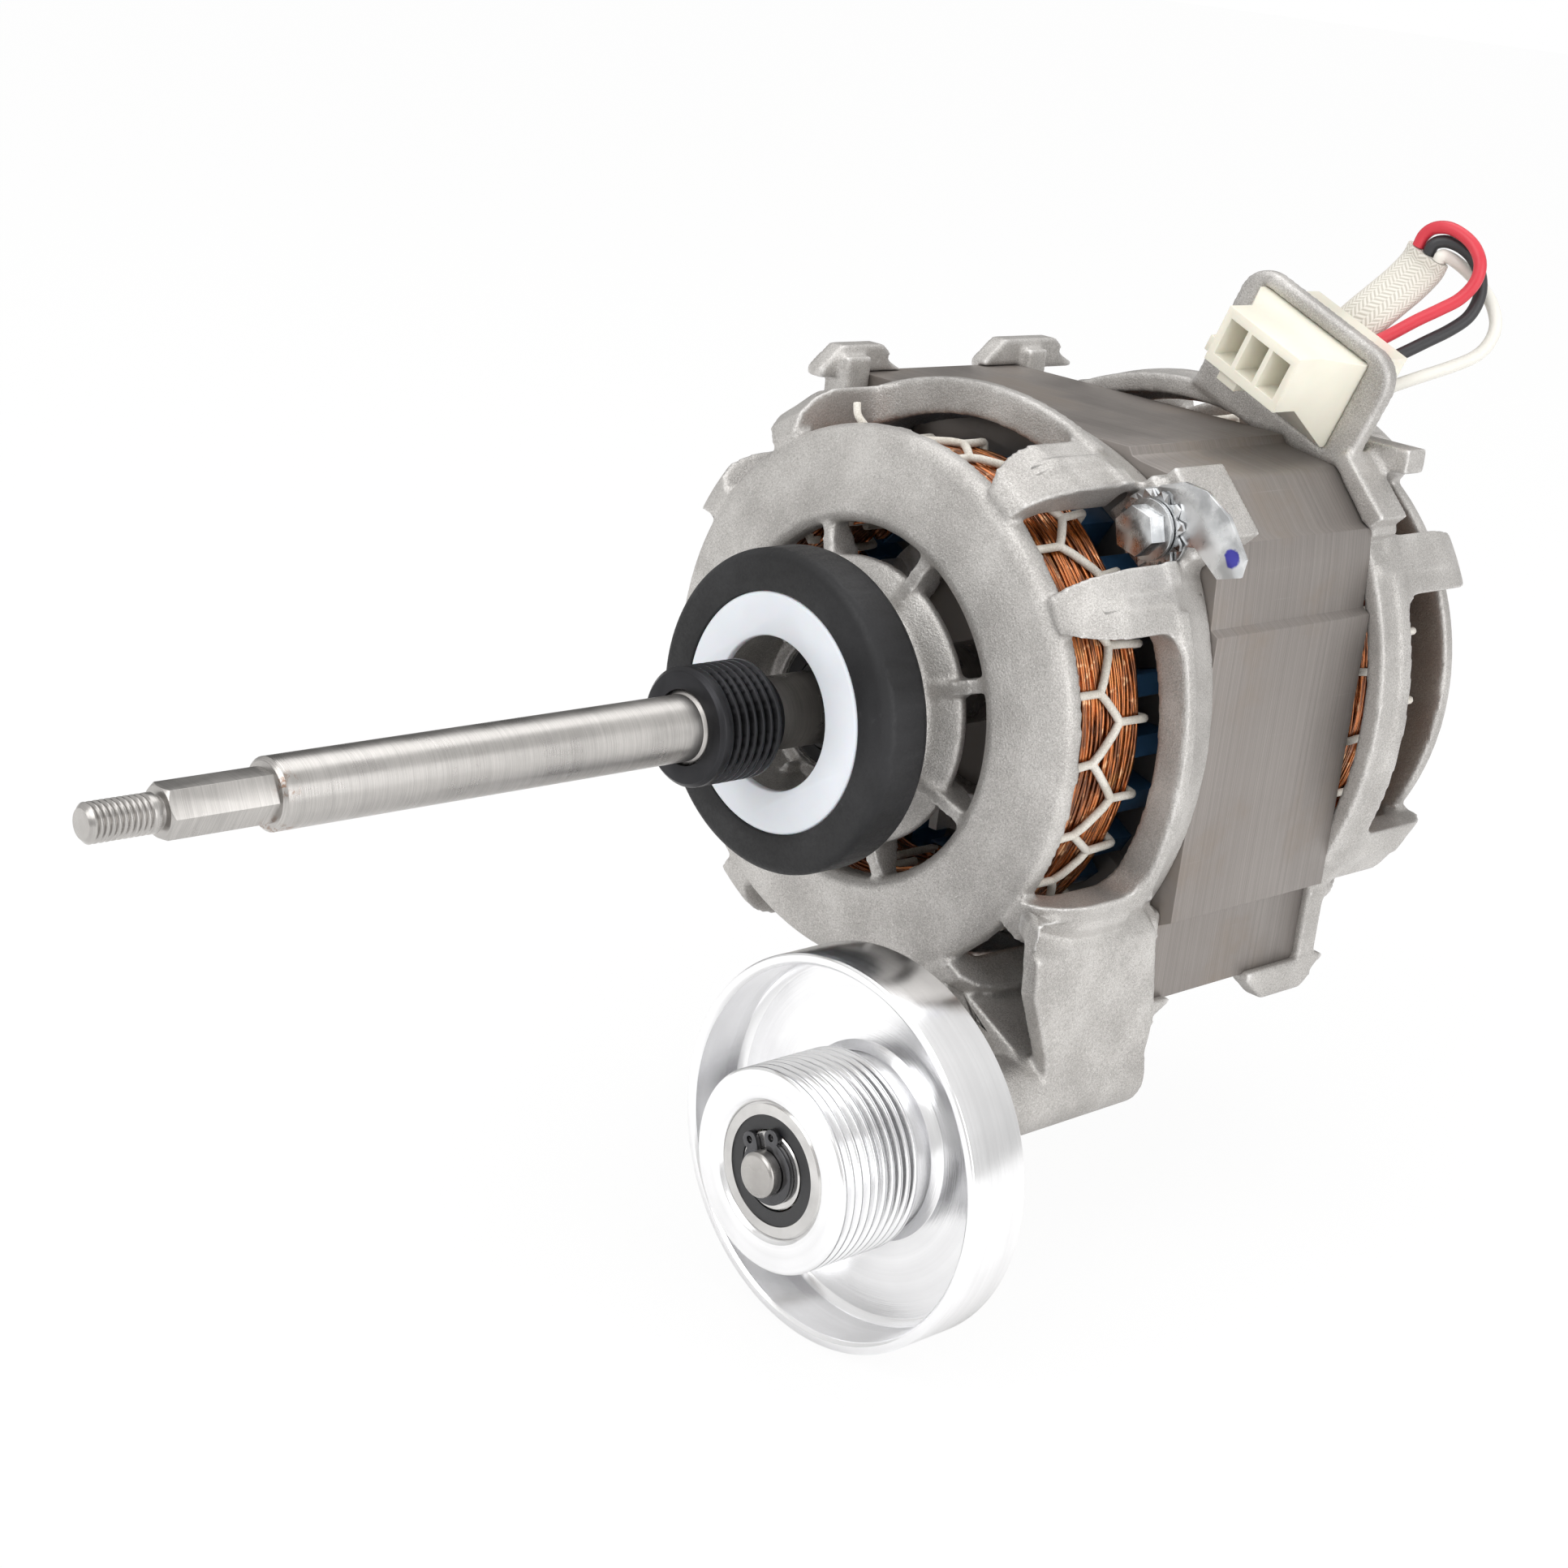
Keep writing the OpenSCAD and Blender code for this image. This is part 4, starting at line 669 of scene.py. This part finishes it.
def mount_rubber():
    """Matt black rubber with pale scuffs and moulding dust."""
    f = Finish("mount_rubber")
    c = colours().rubber
    cloud = f.noise(40, 4)
    fine = f.noise(1500, 3, 0.7)
    scuff = f.noise(1.0, 3, 0.6, stretch=(420, 90, 420))
    shade = f.mix(f.band(cloud, 0.35, 0.7), c, shades(c, 1.8)[0])
    scuffed = f.band(scuff * 0.7 + f.noise(26, 2) * 0.3, 0.62, 0.76, 0, 0.16)
    shade = f.mix(scuffed, shade, (0.13, 0.13, 0.135))
    roughness = f.band(fine + (scuff - 0.5) * 0.4, 0.3, 0.7, 0.44, 0.60)
    return f.done(shade, roughness, 0.0, f.bump(fine, 0.00005, 0.5), specular_ior_level=0.32)


class Shelf:
    """The finished materials, made once each."""

    def __init__(self):
        c = colours()
        self.cast = cast_aluminium()
        self.laminations = lamination_steel()
        self.shaft = steel("ground_steel", (0.43, 0.415, 0.40), 0.30, 0.00004, RUST_SPOTS)
        self.bearing = steel("bearing_steel", (0.62, 0.61, 0.60), 0.16, 0.00001)
        self.spring = steel("spring_steel", (0.10, 0.10, 0.105), 0.30, 0.00002)
        self.anodised = steel("black_anodised", (0.035, 0.035, 0.038), 0.36, 0.00003)
        self.bright = turned_aluminium()
        self.zinc = zinc()
        self.marked = marked_zinc()
        self.copper = enamelled_copper()
        self.lacing = lacing_cord()
        self.paper = moulded("slot_paper", (0.03, 0.095, 0.20), 0.32, 0.22)
        self.nylon = moulded("ivory_nylon", c.nylon, 0.34, 0.035, 1400, 0.00002,
                             subsurface_weight=0.12, subsurface_scale=0.002)
        self.liner = moulded("white_nylon", c.liner, 0.33, 0.03, 1100, 0.00002,
                             subsurface_weight=0.2, subsurface_scale=0.003)
        self.rubber = mount_rubber()
        self.seal = moulded("seal_rubber", (0.022, 0.022, 0.024), 0.45, 0.2, 1500, 0.00003)
        self.red = moulded("red_insulation", (0.60, 0.035, 0.055), 0.38, 0.05, 1200, 0.00003)
        self.black = moulded("black_insulation", (0.028, 0.028, 0.031), 0.42, 0.1, 1200, 0.00003)
        self.white = moulded("white_insulation", (0.76, 0.745, 0.69), 0.42, 0.03, 1200, 0.00003)
        self.sleeve = braided_sleeve()


SHELF = []


def shelf():
    """The shared shelf of materials."""
    if not SHELF:
        SHELF.append(Shelf())
    return SHELF[0]


# Pieces, each made by its operator


def between(stops, at):
    """The value at a place on a line through stops."""
    for (a, low), (b, high) in zip(stops, stops[1:]):
        if at <= b:
            return low + (high - low) * max(0, at - a) / (b - a)
    return stops[-1][1]


def trim_ridges(obj, face, way, side, reach):
    """Brings the bridges' ridges down to an even height, as far behind the face as reach."""
    for v in obj.data.vertices:
        depth = (v.co.y - face) * way
        radius = math.hypot(v.co.x, v.co.z)
        if not 0 < depth < reach or radius < RIDGE_FROM:
            continue
        turn = math.atan2(v.co.z, v.co.x)
        lean = (turn + math.pi / 4) % (math.pi / 2) - math.pi / 4
        if abs(abs(lean) - RIDGE_TURN) * radius > RIDGE_BAND:
            continue
        half = between(side, depth) - SIDE_ARC
        arc = half * math.cos(lean) + math.sqrt(SIDE_ARC ** 2 - (half * math.sin(lean)) ** 2)
        limit = min(arc, between(BRIDGE_LIMIT, depth)) + between(RIDGE, depth)
        if radius > limit:
            v.co.x *= limit / radius
            v.co.z *= limit / radius


class MOTOR_OT_castings(bpy.types.Operator):
    """Rounds the edges of both end shields and gives them a cast skin"""

    bl_idname = "motor.castings"
    bl_label = "Castings"

    def execute(self, context):
        for node, face, way, side, reach in SHIELDS:
            obj = copy_of(node, node + "_casting")
            grid = sizes().cast_grid * 1
            modifier(obj, "REMESH", mode="VOXEL", voxel_size=grid, adaptivity=0)
            trim_ridges(obj, face, way, side, reach)
            modifier(obj, "SMOOTH", factor=0.5, iterations=3)
            triangles = sum(len(p.vertices) - 2 for p in obj.data.polygons)
            if triangles > sizes().casting_faces:
                modifier(obj, "DECIMATE", ratio=sizes().casting_faces / triangles)
            select_only(obj)
            bpy.ops.object.shade_smooth()
            finish_piece(obj, FRAME_BODY, shelf().cast, [node])
        return {"FINISHED"}


class MOTOR_OT_stack(bpy.types.Operator):
    """Dresses the stator's stack, its slot liners and the rotor inside it"""

    bl_idname = "motor.stack"
    bl_label = "Stack and Rotor"

    def execute(self, context):
        s = shelf()
        machined("stator_core", FRAME_BODY, s.laminations, 0.00018)
        machined("slot_liners", FRAME_BODY, s.paper, 0.00012)
        machined("coil_sides", FRAME_BODY, s.copper, 0.0007)
        dress("rotor_core", s.laminations)
        dress("rotor_cage", s.cast)
        return {"FINISHED"}


def ring_wire(rng, radius, y, wave):
    """One wire that goes once round an end winding with its own slow waves."""
    parts = [(rng.choice((2, 3, 5, 7, 9, 11)), rng.uniform(0, 6.3), rng.uniform(0.3, 1)) for _ in range(4)]
    line = []
    for k in range(WIRE_POINTS):
        a = 2 * math.pi * k / WIRE_POINTS
        along = sum(w * math.sin(n * a + p) for n, p, w in parts) * wave / 2.2
        out = sum(w * math.cos((n + 4) * a + 2 * p) for n, p, w in parts) * wave / 6.5
        line.append(polar(radius + out, y + along, math.degrees(a)))
    return line


class MOTOR_OT_windings(bpy.types.Operator):
    """Winds the copper of both end windings as separate wires over a plain core"""

    bl_idname = "motor.windings"
    bl_label = "Windings"

    def execute(self, context):
        thick = sizes().wire
        for side, core in (("front", "front_winding"), ("rear", "rear_winding")):
            rng = random.Random(7 if side == "front" else 11)
            low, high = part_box(core)
            outer = high.x + thick
            tip, root = (low.y, high.y) if side == "front" else (high.y, low.y)
            tip += (-1 if side == "front" else 1) * thick * 1.6
            way = 1 if root > tip else -1
            lines = []
            depth = abs(root - tip)
            for k in range(OUTER_WIRES):
                y = tip + way * depth * (k + 0.5) / OUTER_WIRES
                edge = min(1, (k + 1) / 4, (OUTER_WIRES - k) / 3)
                radius = outer + 0.0006 - WIRE_DRAW * (1 - edge) ** 1.6
                lines.append(ring_wire(rng, radius + rng.uniform(-0.0003, 0.0003), y, 0.0008))
            for k in range(TIP_WIRES):
                radius = outer - 0.002 - k * TIP_STEP
                lines.append(ring_wire(rng, radius, tip + way * (0.0006 + rng.uniform(0, 0.0005)), 0.0005))
            for k in range(ROOT_WIRES):
                radius = outer - 0.002 - k * ROOT_STEP
                lines.append(ring_wire(rng, radius, root - way * 0.0001, 0.0004))
            obj = curve_piece(side + "_wires", lines, thick / 2, closed=True, caps=False)
            finish_piece(obj, FRAME_BODY, shelf().copper, [side + "_strands"])
            machined(core, FRAME_BODY, shelf().copper, 0.0004)
        return {"FINISHED"}


def lace_net(rng, radius, tip, root):
    """Lines of cord over a winding: a zigzag from knot to knot, and from each knot a loop to the bore."""
    inner = LACE_INNER - sizes().lace / 2
    count = 2 * sizes().lace_cells
    pitch = 360 / count
    drift = [(rng.uniform(-0.09, 0.09), rng.uniform(-1.2, 1.2)) for _ in range(count)]
    knots = []
    for k in range(count + 1):
        shift, turn = drift[k % count]
        share = (0.66 if k % 2 else 0.36) + shift
        knots.append((tip + (root - tip) * share, k * pitch + turn))
    lines = []
    for k, ((y, a), (y2, a2)) in enumerate(zip(knots, knots[1:])):
        lines.append([polar(radius + (0.0003 if 0 < t < 1 else 0), y + (y2 - y) * t, a + (a2 - a) * t)
                      for t in (0, 0.25, 0.5, 0.75, 1)])
        end = root if k % 2 else tip
        near = end - (end - y) * 0.12
        turn = a + rng.uniform(-0.8, 0.8)
        loop = [
            polar(radius, y, a), polar(radius, y + (end - y) * 0.5, (a + turn) / 2),
            polar(radius, near, turn), polar(radius - 0.0012, end, turn),
            polar((radius + inner) / 2, end, turn), polar(inner + 0.001, end, turn),
            polar(inner, near, turn), polar(inner, (tip + root) / 2, turn),
        ]
        lines.append(smooth_line(loop, 3))
    return lines


class MOTOR_OT_lacing(bpy.types.Operator):
    """Laces both end windings with a net of off-white cord"""

    bl_idname = "motor.lacing"
    bl_label = "Lacing"

    def execute(self, context):
        thick = sizes().lace
        for side, seed in (("front", 3), ("rear", 5)):
            low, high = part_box(side + "_lacing")
            tip, root = (low.y, high.y) if side == "front" else (high.y, low.y)
            inset = thick / 2 if root > tip else -thick / 2
            lines = lace_net(random.Random(seed), high.x - thick / 2, tip + inset, root - inset)
            obj = curve_piece(side + "_net", lines, thick / 2, sides=2)
            finish_piece(obj, FRAME_BODY, shelf().lacing, [side + "_lacing"])
        tail = smooth_line([polar(*p) for p in LACE_TAIL], 4)
        cord = curve_piece("lacing_tail", [tail], thick / 2 * 0.9, sides=2)
        finish_piece(cord, FRAME_BODY, shelf().lacing)
        return {"FINISHED"}


def tooth_ring(corner_x, corner_z, low, high):
    """A washer at one bolt, between two places along Y, with twisted teeth round its rim."""
    reach = BOLT_RADIUS * math.sqrt(0.5)
    centre = (corner_x * reach, (low + high) / 2, corner_z * reach)
    bpy.ops.object.select_all(action="DESELECT")
    bpy.ops.mesh.primitive_circle_add(vertices=3 * TEETH, radius=TOOTH_BORE, location=centre,
                                      rotation=(math.pi / 2, 0, 0))
    obj = bpy.context.object
    bpy.ops.object.transform_apply(location=True, rotation=True, scale=True)
    bpy.ops.object.mode_set(mode="EDIT")
    bpy.ops.mesh.select_all(action="SELECT")
    for grow in (TOOTH_ROOT / TOOTH_BORE, TOOTH_RIM / TOOTH_ROOT):
        bpy.ops.mesh.extrude_edges_move()
        bpy.ops.transform.resize(value=(grow, 1, grow), center_override=centre)
    bpy.ops.object.mode_set(mode="OBJECT")
    for v in obj.data.vertices:
        x, z = v.co.x - centre[0], v.co.z - centre[2]
        if math.hypot(x, z) < (TOOTH_ROOT + TOOTH_RIM) / 2:
            continue
        side = round(math.atan2(z, x) * 3 * TEETH / (2 * math.pi)) % 3
        if side == 0:
            v.co.x, v.co.z = centre[0] + x * TOOTH_ROOT / TOOTH_RIM, centre[2] + z * TOOTH_ROOT / TOOTH_RIM
        else:
            v.co.y += TOOTH_TWIST if side == 1 else -TOOTH_TWIST
    modifier(obj, "WELD", merge_threshold=0.00001)
    modifier(obj, "SOLIDIFY", thickness=high - low - 2 * TOOTH_TWIST, offset=0)
    select_only(obj)
    bpy.ops.object.mode_set(mode="EDIT")
    bpy.ops.mesh.select_all(action="SELECT")
    bpy.ops.mesh.normals_make_consistent(inside=False)
    bpy.ops.object.mode_set(mode="OBJECT")
    return obj


class MOTOR_OT_fasteners(bpy.types.Operator):
    """Dresses the through bolts, washers, nuts and the earth tab"""

    bl_idname = "motor.fasteners"
    bl_label = "Fasteners"

    def execute(self, context):
        s = shelf()
        for node in ("through_bolts", "bolt_nuts"):
            machined(node, FRAME_BODY, s.zinc, 0.00022)
        machined("earth_tab", FRAME_BODY, s.marked, 0.0003)
        low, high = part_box("star_washers")
        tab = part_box("earth_tab")[0]
        rings = []
        for x, z in ((-1, -1), (-1, 1), (1, -1), (1, 1)):
            at_tab = x + z == 2
            rings.append(tooth_ring(x, z, low.y, tab.y if at_tab else high.y))
        select_only(rings[0])
        for obj in rings[1:]:
            obj.select_set(True)
        bpy.ops.object.join()
        rings[0].name = "star_washers_toothed"
        finish_piece(rings[0], FRAME_BODY, s.zinc, ["star_washers"])
        return {"FINISHED"}


class MOTOR_OT_connector(bpy.types.Operator):
    """Dresses the connector's housing and its contacts"""

    bl_idname = "motor.connector"
    bl_label = "Connector"

    def execute(self, context):
        s = shelf()
        machined("connector_housing", FRAME_BODY, s.nylon, 0.0004)
        machined("connector_blades", FRAME_BODY, s.zinc, 0.0001)
        return {"FINISHED"}


def flat_tube(name, line, width, depth, side):
    """A flattened tube along a line with a map that runs round and along it."""
    count = SLEEVE_POINTS
    verts, faces, places = [], [], []
    run = 0.0
    for i, p in enumerate(line):
        ahead = (line[min(i + 1, len(line) - 1)] - line[max(i - 1, 0)]).normalized()
        across = side - ahead * side.dot(ahead)
        across.normalize()
        up = ahead.cross(across)
        if i:
            run += (p - line[i - 1]).length
        for k in range(count):
            a = 2 * math.pi * k / count
            c, s = math.cos(a), math.sin(a)
            wide = math.copysign(abs(c) ** 0.8, c) * width / 2
            tall = math.copysign(abs(s) ** 0.8, s) * depth / 2
            verts.append(p + across * wide + up * tall)
        places.append(run)
    for i in range(len(line) - 1):
        for k in range(count):
            a, b = i * count + k, i * count + (k + 1) % count
            faces.append((a, b, b + count, a + count))
    faces.append(tuple(range(count - 1, -1, -1)))
    faces.append(tuple(range((len(line) - 1) * count, len(line) * count)))
    mesh = bpy.data.meshes.new(name)
    mesh.from_pydata(verts, [], faces)
    layer = mesh.uv_layers.new(name="braid")
    scale = 1 / (math.pi * (width + depth) / 2)
    for face in mesh.polygons:
        wrap = face.index < (len(line) - 1) * count and face.index % count == count - 1
        for corner in face.loop_indices:
            v = mesh.loops[corner].vertex_index
            k = v % count
            layer.data[corner].uv = ((1.0 if wrap and k == 0 else k / count), places[v // count] * scale)
    obj = bpy.data.objects.new(name, mesh)
    bpy.context.scene.collection.objects.link(obj)
    select_only(obj)
    bpy.ops.object.mode_set(mode="EDIT")
    bpy.ops.mesh.select_all(action="SELECT")
    bpy.ops.mesh.normals_make_consistent(inside=False)
    bpy.ops.object.mode_set(mode="OBJECT")
    smooth(obj, 50)
    return obj


def length_of(line):
    """Length of a line of points."""
    return sum((b - a).length for a, b in zip(line, line[1:]))


class MOTOR_OT_leads(bpy.types.Operator):
    """Lays the three leads and their braided sleeve from the connector to the rear winding"""

    bl_idname = "motor.leads"
    bl_label = "Leads"

    def execute(self, context):
        s = shelf()
        thick = sizes().lead
        for tone, route, material in (("red", RED_ROUTE, s.red), ("black", BLACK_ROUTE, s.black),
                                      ("white", WHITE_ROUTE, s.white)):
            line = smooth_line([plate_point(p) for p in route], 5)
            obj = curve_piece(f"wire_{tone}_lead", [line], thick / 2, sides=5)
            finish_piece(obj, FRAME_BODY, material, [f"wire_{tone}"])
            length_of(line)
        line = smooth_line([plate_point(p) for p in SLEEVE_ROUTE], 5)
        across = plate_point((1, 0, 0)).normalized()
        obj = flat_tube("wire_sleeve_braid", line, sizes().sleeve_width, sizes().sleeve_depth, across)
        finish_piece(obj, FRAME_BODY, s.sleeve, ["wire_sleeve"])
        return {"FINISHED"}


class MOTOR_OT_mounts(bpy.types.Operator):
    """Dresses both mounting rings with their liners"""

    bl_idname = "motor.mounts"
    bl_label = "Mounting Rings"

    def execute(self, context):
        s = shelf()
        for end in ("front", "rear"):
            machined(end + "_mount_rubber", FRAME_BODY, s.rubber, 0.0005)
            machined(end + "_mount_liner", FRAME_BODY, s.liner, 0.0004)
        return {"FINISHED"}


class MOTOR_OT_shaft(bpy.types.Operator):
    """Dresses the shaft, its bearings and the ribbed drive pulley"""

    bl_idname = "motor.shaft"
    bl_label = "Shaft"

    def execute(self, context):
        s = shelf()
        machined("rotor_shaft", ROTOR_BODY, s.shaft, 0.0002)
        machined("drive_pulley", ROTOR_BODY, s.anodised, 0.00012)
        for end in ("front", "rear"):
            for part, material in (("outer", s.bearing), ("inner", s.bearing), ("balls", s.bearing),
                                   ("cage", s.nylon), ("seals", s.seal)):
                dress(f"{end}_bearing_{part}", material)
        dress("spring_washer", s.spring)
        dress("shaft_circlip", s.spring)
        return {"FINISHED"}


class MOTOR_OT_step_pulley(bpy.types.Operator):
    """Dresses the step pulley, its axle and its bearings"""

    bl_idname = "motor.step_pulley"
    bl_label = "Step Pulley"

    def execute(self, context):
        s = shelf()
        machined("step_pulley", PULLEY_BODY, s.bright, 0.00012)
        machined("step_axle", FRAME_BODY, s.shaft, 0.0002)
        machined("axle_circlip", FRAME_BODY, s.spring, 0.00012)
        dress("axle_spacer", s.shaft)
        for part, material in (("inner_races", s.bearing), ("outer_races", s.bearing),
                               ("bearing_balls", s.bearing), ("cages", s.nylon), ("seals", s.seal)):
            dress(f"step_{part}", material)
        return {"FINISHED"}


def lamp(name, place, size, power):
    """A square soft lamp that faces the motor."""
    data = bpy.data.lights.new(name, "AREA")
    data.shape = "SQUARE"
    data.size = size
    data.energy = power
    obj = bpy.data.objects.new(name, data)
    obj.location = place
    obj.rotation_mode = "QUATERNION"
    obj.rotation_quaternion = (Vector(LIT_PLACE) - Vector(place)).to_track_quat("-Z", "Y")
    bpy.context.scene.collection.objects.link(obj)


def studio_world():
    """White where the camera looks; a soft studio with one dark side for light and reflections."""
    world = bpy.data.worlds.new("studio")
    world.use_nodes = True
    tree = world.node_tree
    tree.nodes.clear()

    def add(kind, **settings):
        """Adds a node of the world with these settings."""
        made = tree.nodes.new(kind)
        for name, value in settings.items():
            setattr(made, name, value)
        return made

    def link(a, b):
        """Links two sockets of the world."""
        tree.links.new(a, b)

    place = add("ShaderNodeTexCoord").outputs["Generated"]
    split = add("ShaderNodeSeparateXYZ")
    link(place, split.inputs[0])
    height = add("ShaderNodeMapRange", interpolation_type="SMOOTHSTEP")
    link(split.outputs[2], height.inputs["Value"])
    for name, value in (("From Min", -0.3), ("From Max", 0.9), ("To Min", 0.62), ("To Max", 0.95)):
        height.inputs[name].default_value = value
    turn = add("ShaderNodeVectorMath", operation="DOT_PRODUCT")
    link(place, turn.inputs[0])
    turn.inputs[1].default_value = Vector((-0.74, 0.62, 0.26)).normalized()
    dark = add("ShaderNodeMapRange", interpolation_type="SMOOTHSTEP")
    link(turn.outputs["Value"], dark.inputs["Value"])
    for name, value in (("From Min", 0.72), ("From Max", 0.97), ("To Min", 1.0), ("To Max", 0.16)):
        dark.inputs[name].default_value = value
    level = add("ShaderNodeMath", operation="MULTIPLY")
    link(height.outputs[0], level.inputs[0])
    link(dark.outputs[0], level.inputs[1])
    soft = add("ShaderNodeBackground")
    soft.inputs[0].default_value = (1, 0.995, 0.985, 1)
    link(level.outputs[0], soft.inputs[1])
    plain = add("ShaderNodeBackground")
    plain.inputs[0].default_value = (1, 1, 1, 1)
    plain.inputs[1].default_value = 1.0
    rays = add("ShaderNodeLightPath")
    both = add("ShaderNodeMixShader")
    link(rays.outputs["Is Camera Ray"], both.inputs[0])
    link(soft.outputs[0], both.inputs[1])
    link(plain.outputs[0], both.inputs[2])
    out = add("ShaderNodeOutputWorld")
    link(both.outputs[0], out.inputs[0])
    bpy.context.scene.world = world


def floor_material():
    """Pale floor that shows white to the camera and keeps a faint shadow."""
    f = Finish("studio_floor")
    f.done((0.96, 0.96, 0.96), 0.85, 0.0)
    white = f.node("ShaderNodeEmission", None, {"Color": (1, 1, 1), "Strength": 1.0})
    rays = f.node("ShaderNodeLightPath")
    share = Value(f, rays.outputs["Is Camera Ray"]) * 0.94
    both = f.node("ShaderNodeMixShader", None, {0: share, 1: f.shader.outputs[0], 2: white.outputs[0]})
    out = next(n for n in f.tree.nodes if n.bl_idname == "ShaderNodeOutputMaterial")
    f.set(out.inputs["Surface"], both.outputs[0])
    return f.material


class MOTOR_OT_studio(bpy.types.Operator):
    """Adds the floor, the lamps, the world and the camera"""

    bl_idname = "motor.studio"
    bl_label = "Studio"

    def execute(self, context):
        bpy.ops.object.select_all(action="DESELECT")
        bpy.ops.mesh.primitive_plane_add(size=FLOOR_SIZE, location=(0, 0, CAD_BOX[0][2] - FLOOR_DROP))
        floor = context.object
        floor.name = "studio_floor"
        floor.data.materials.append(floor_material())
        for settings in LAMPS:
            lamp(*settings)
        studio_world()
        turn, height, roll = (math.radians(v) for v in (VIEW_TURN, VIEW_HEIGHT, VIEW_ROLL))
        flat = math.cos(height)
        back = Vector((math.sin(turn) * flat, -math.cos(turn) * flat, math.sin(height)))
        right = (-back).cross(Vector((0, 0, 1))).normalized()
        up = right.cross(-back)
        rolled = right * math.cos(roll) + up * math.sin(roll)
        top = up * math.cos(roll) - right * math.sin(roll)
        data = bpy.data.cameras.new("camera")
        data.lens = VIEW_LENS
        data.sensor_width = 36
        data.clip_start = 0.01
        camera = bpy.data.objects.new("camera", data)
        camera.matrix_world = Matrix((rolled, top, back)).transposed().to_4x4()
        camera.location = VIEW_PLACE
        context.scene.collection.objects.link(camera)
        context.scene.camera = camera
        context.scene.view_settings.view_transform = "Standard"
        return {"FINISHED"}


class MOTOR_PT_panel(bpy.types.Panel):
    """Buttons for the motor's pieces, in the order they are made"""

    bl_label = "Tumble Dryer Motor"
    bl_idname = "MOTOR_PT_panel"
    bl_space_type = "VIEW_3D"
    bl_region_type = "UI"
    bl_category = "Motor"

    def draw(self, context):
        for cls in OPERATORS:
            self.layout.operator(cls.bl_idname)
        for group in (context.scene.motor_sizes, context.scene.motor_colours):
            for name in group.__annotations__:
                self.layout.prop(group, name)


OPERATORS = (
    MOTOR_OT_castings,
    MOTOR_OT_stack,
    MOTOR_OT_windings,
    MOTOR_OT_lacing,
    MOTOR_OT_fasteners,
    MOTOR_OT_connector,
    MOTOR_OT_leads,
    MOTOR_OT_mounts,
    MOTOR_OT_shaft,
    MOTOR_OT_step_pulley,
    MOTOR_OT_studio,
)
CLASSES = (MotorColours, MotorSizes, *OPERATORS, MOTOR_PT_panel)


def register():
    for cls in CLASSES:
        bpy.utils.register_class(cls)
    bpy.types.Scene.motor_colours = PointerProperty(type=MotorColours)
    bpy.types.Scene.motor_sizes = PointerProperty(type=MotorSizes)


def unregister():
    del bpy.types.Scene.motor_sizes
    del bpy.types.Scene.motor_colours
    for cls in reversed(CLASSES):
        bpy.utils.unregister_class(cls)


def main():
    """Makes every piece in order."""
    register()
    for cls in OPERATORS:
        group, name = cls.bl_idname.split(".")
        getattr(getattr(bpy.ops, group), name)()


if __name__ == "__main__":
    main()
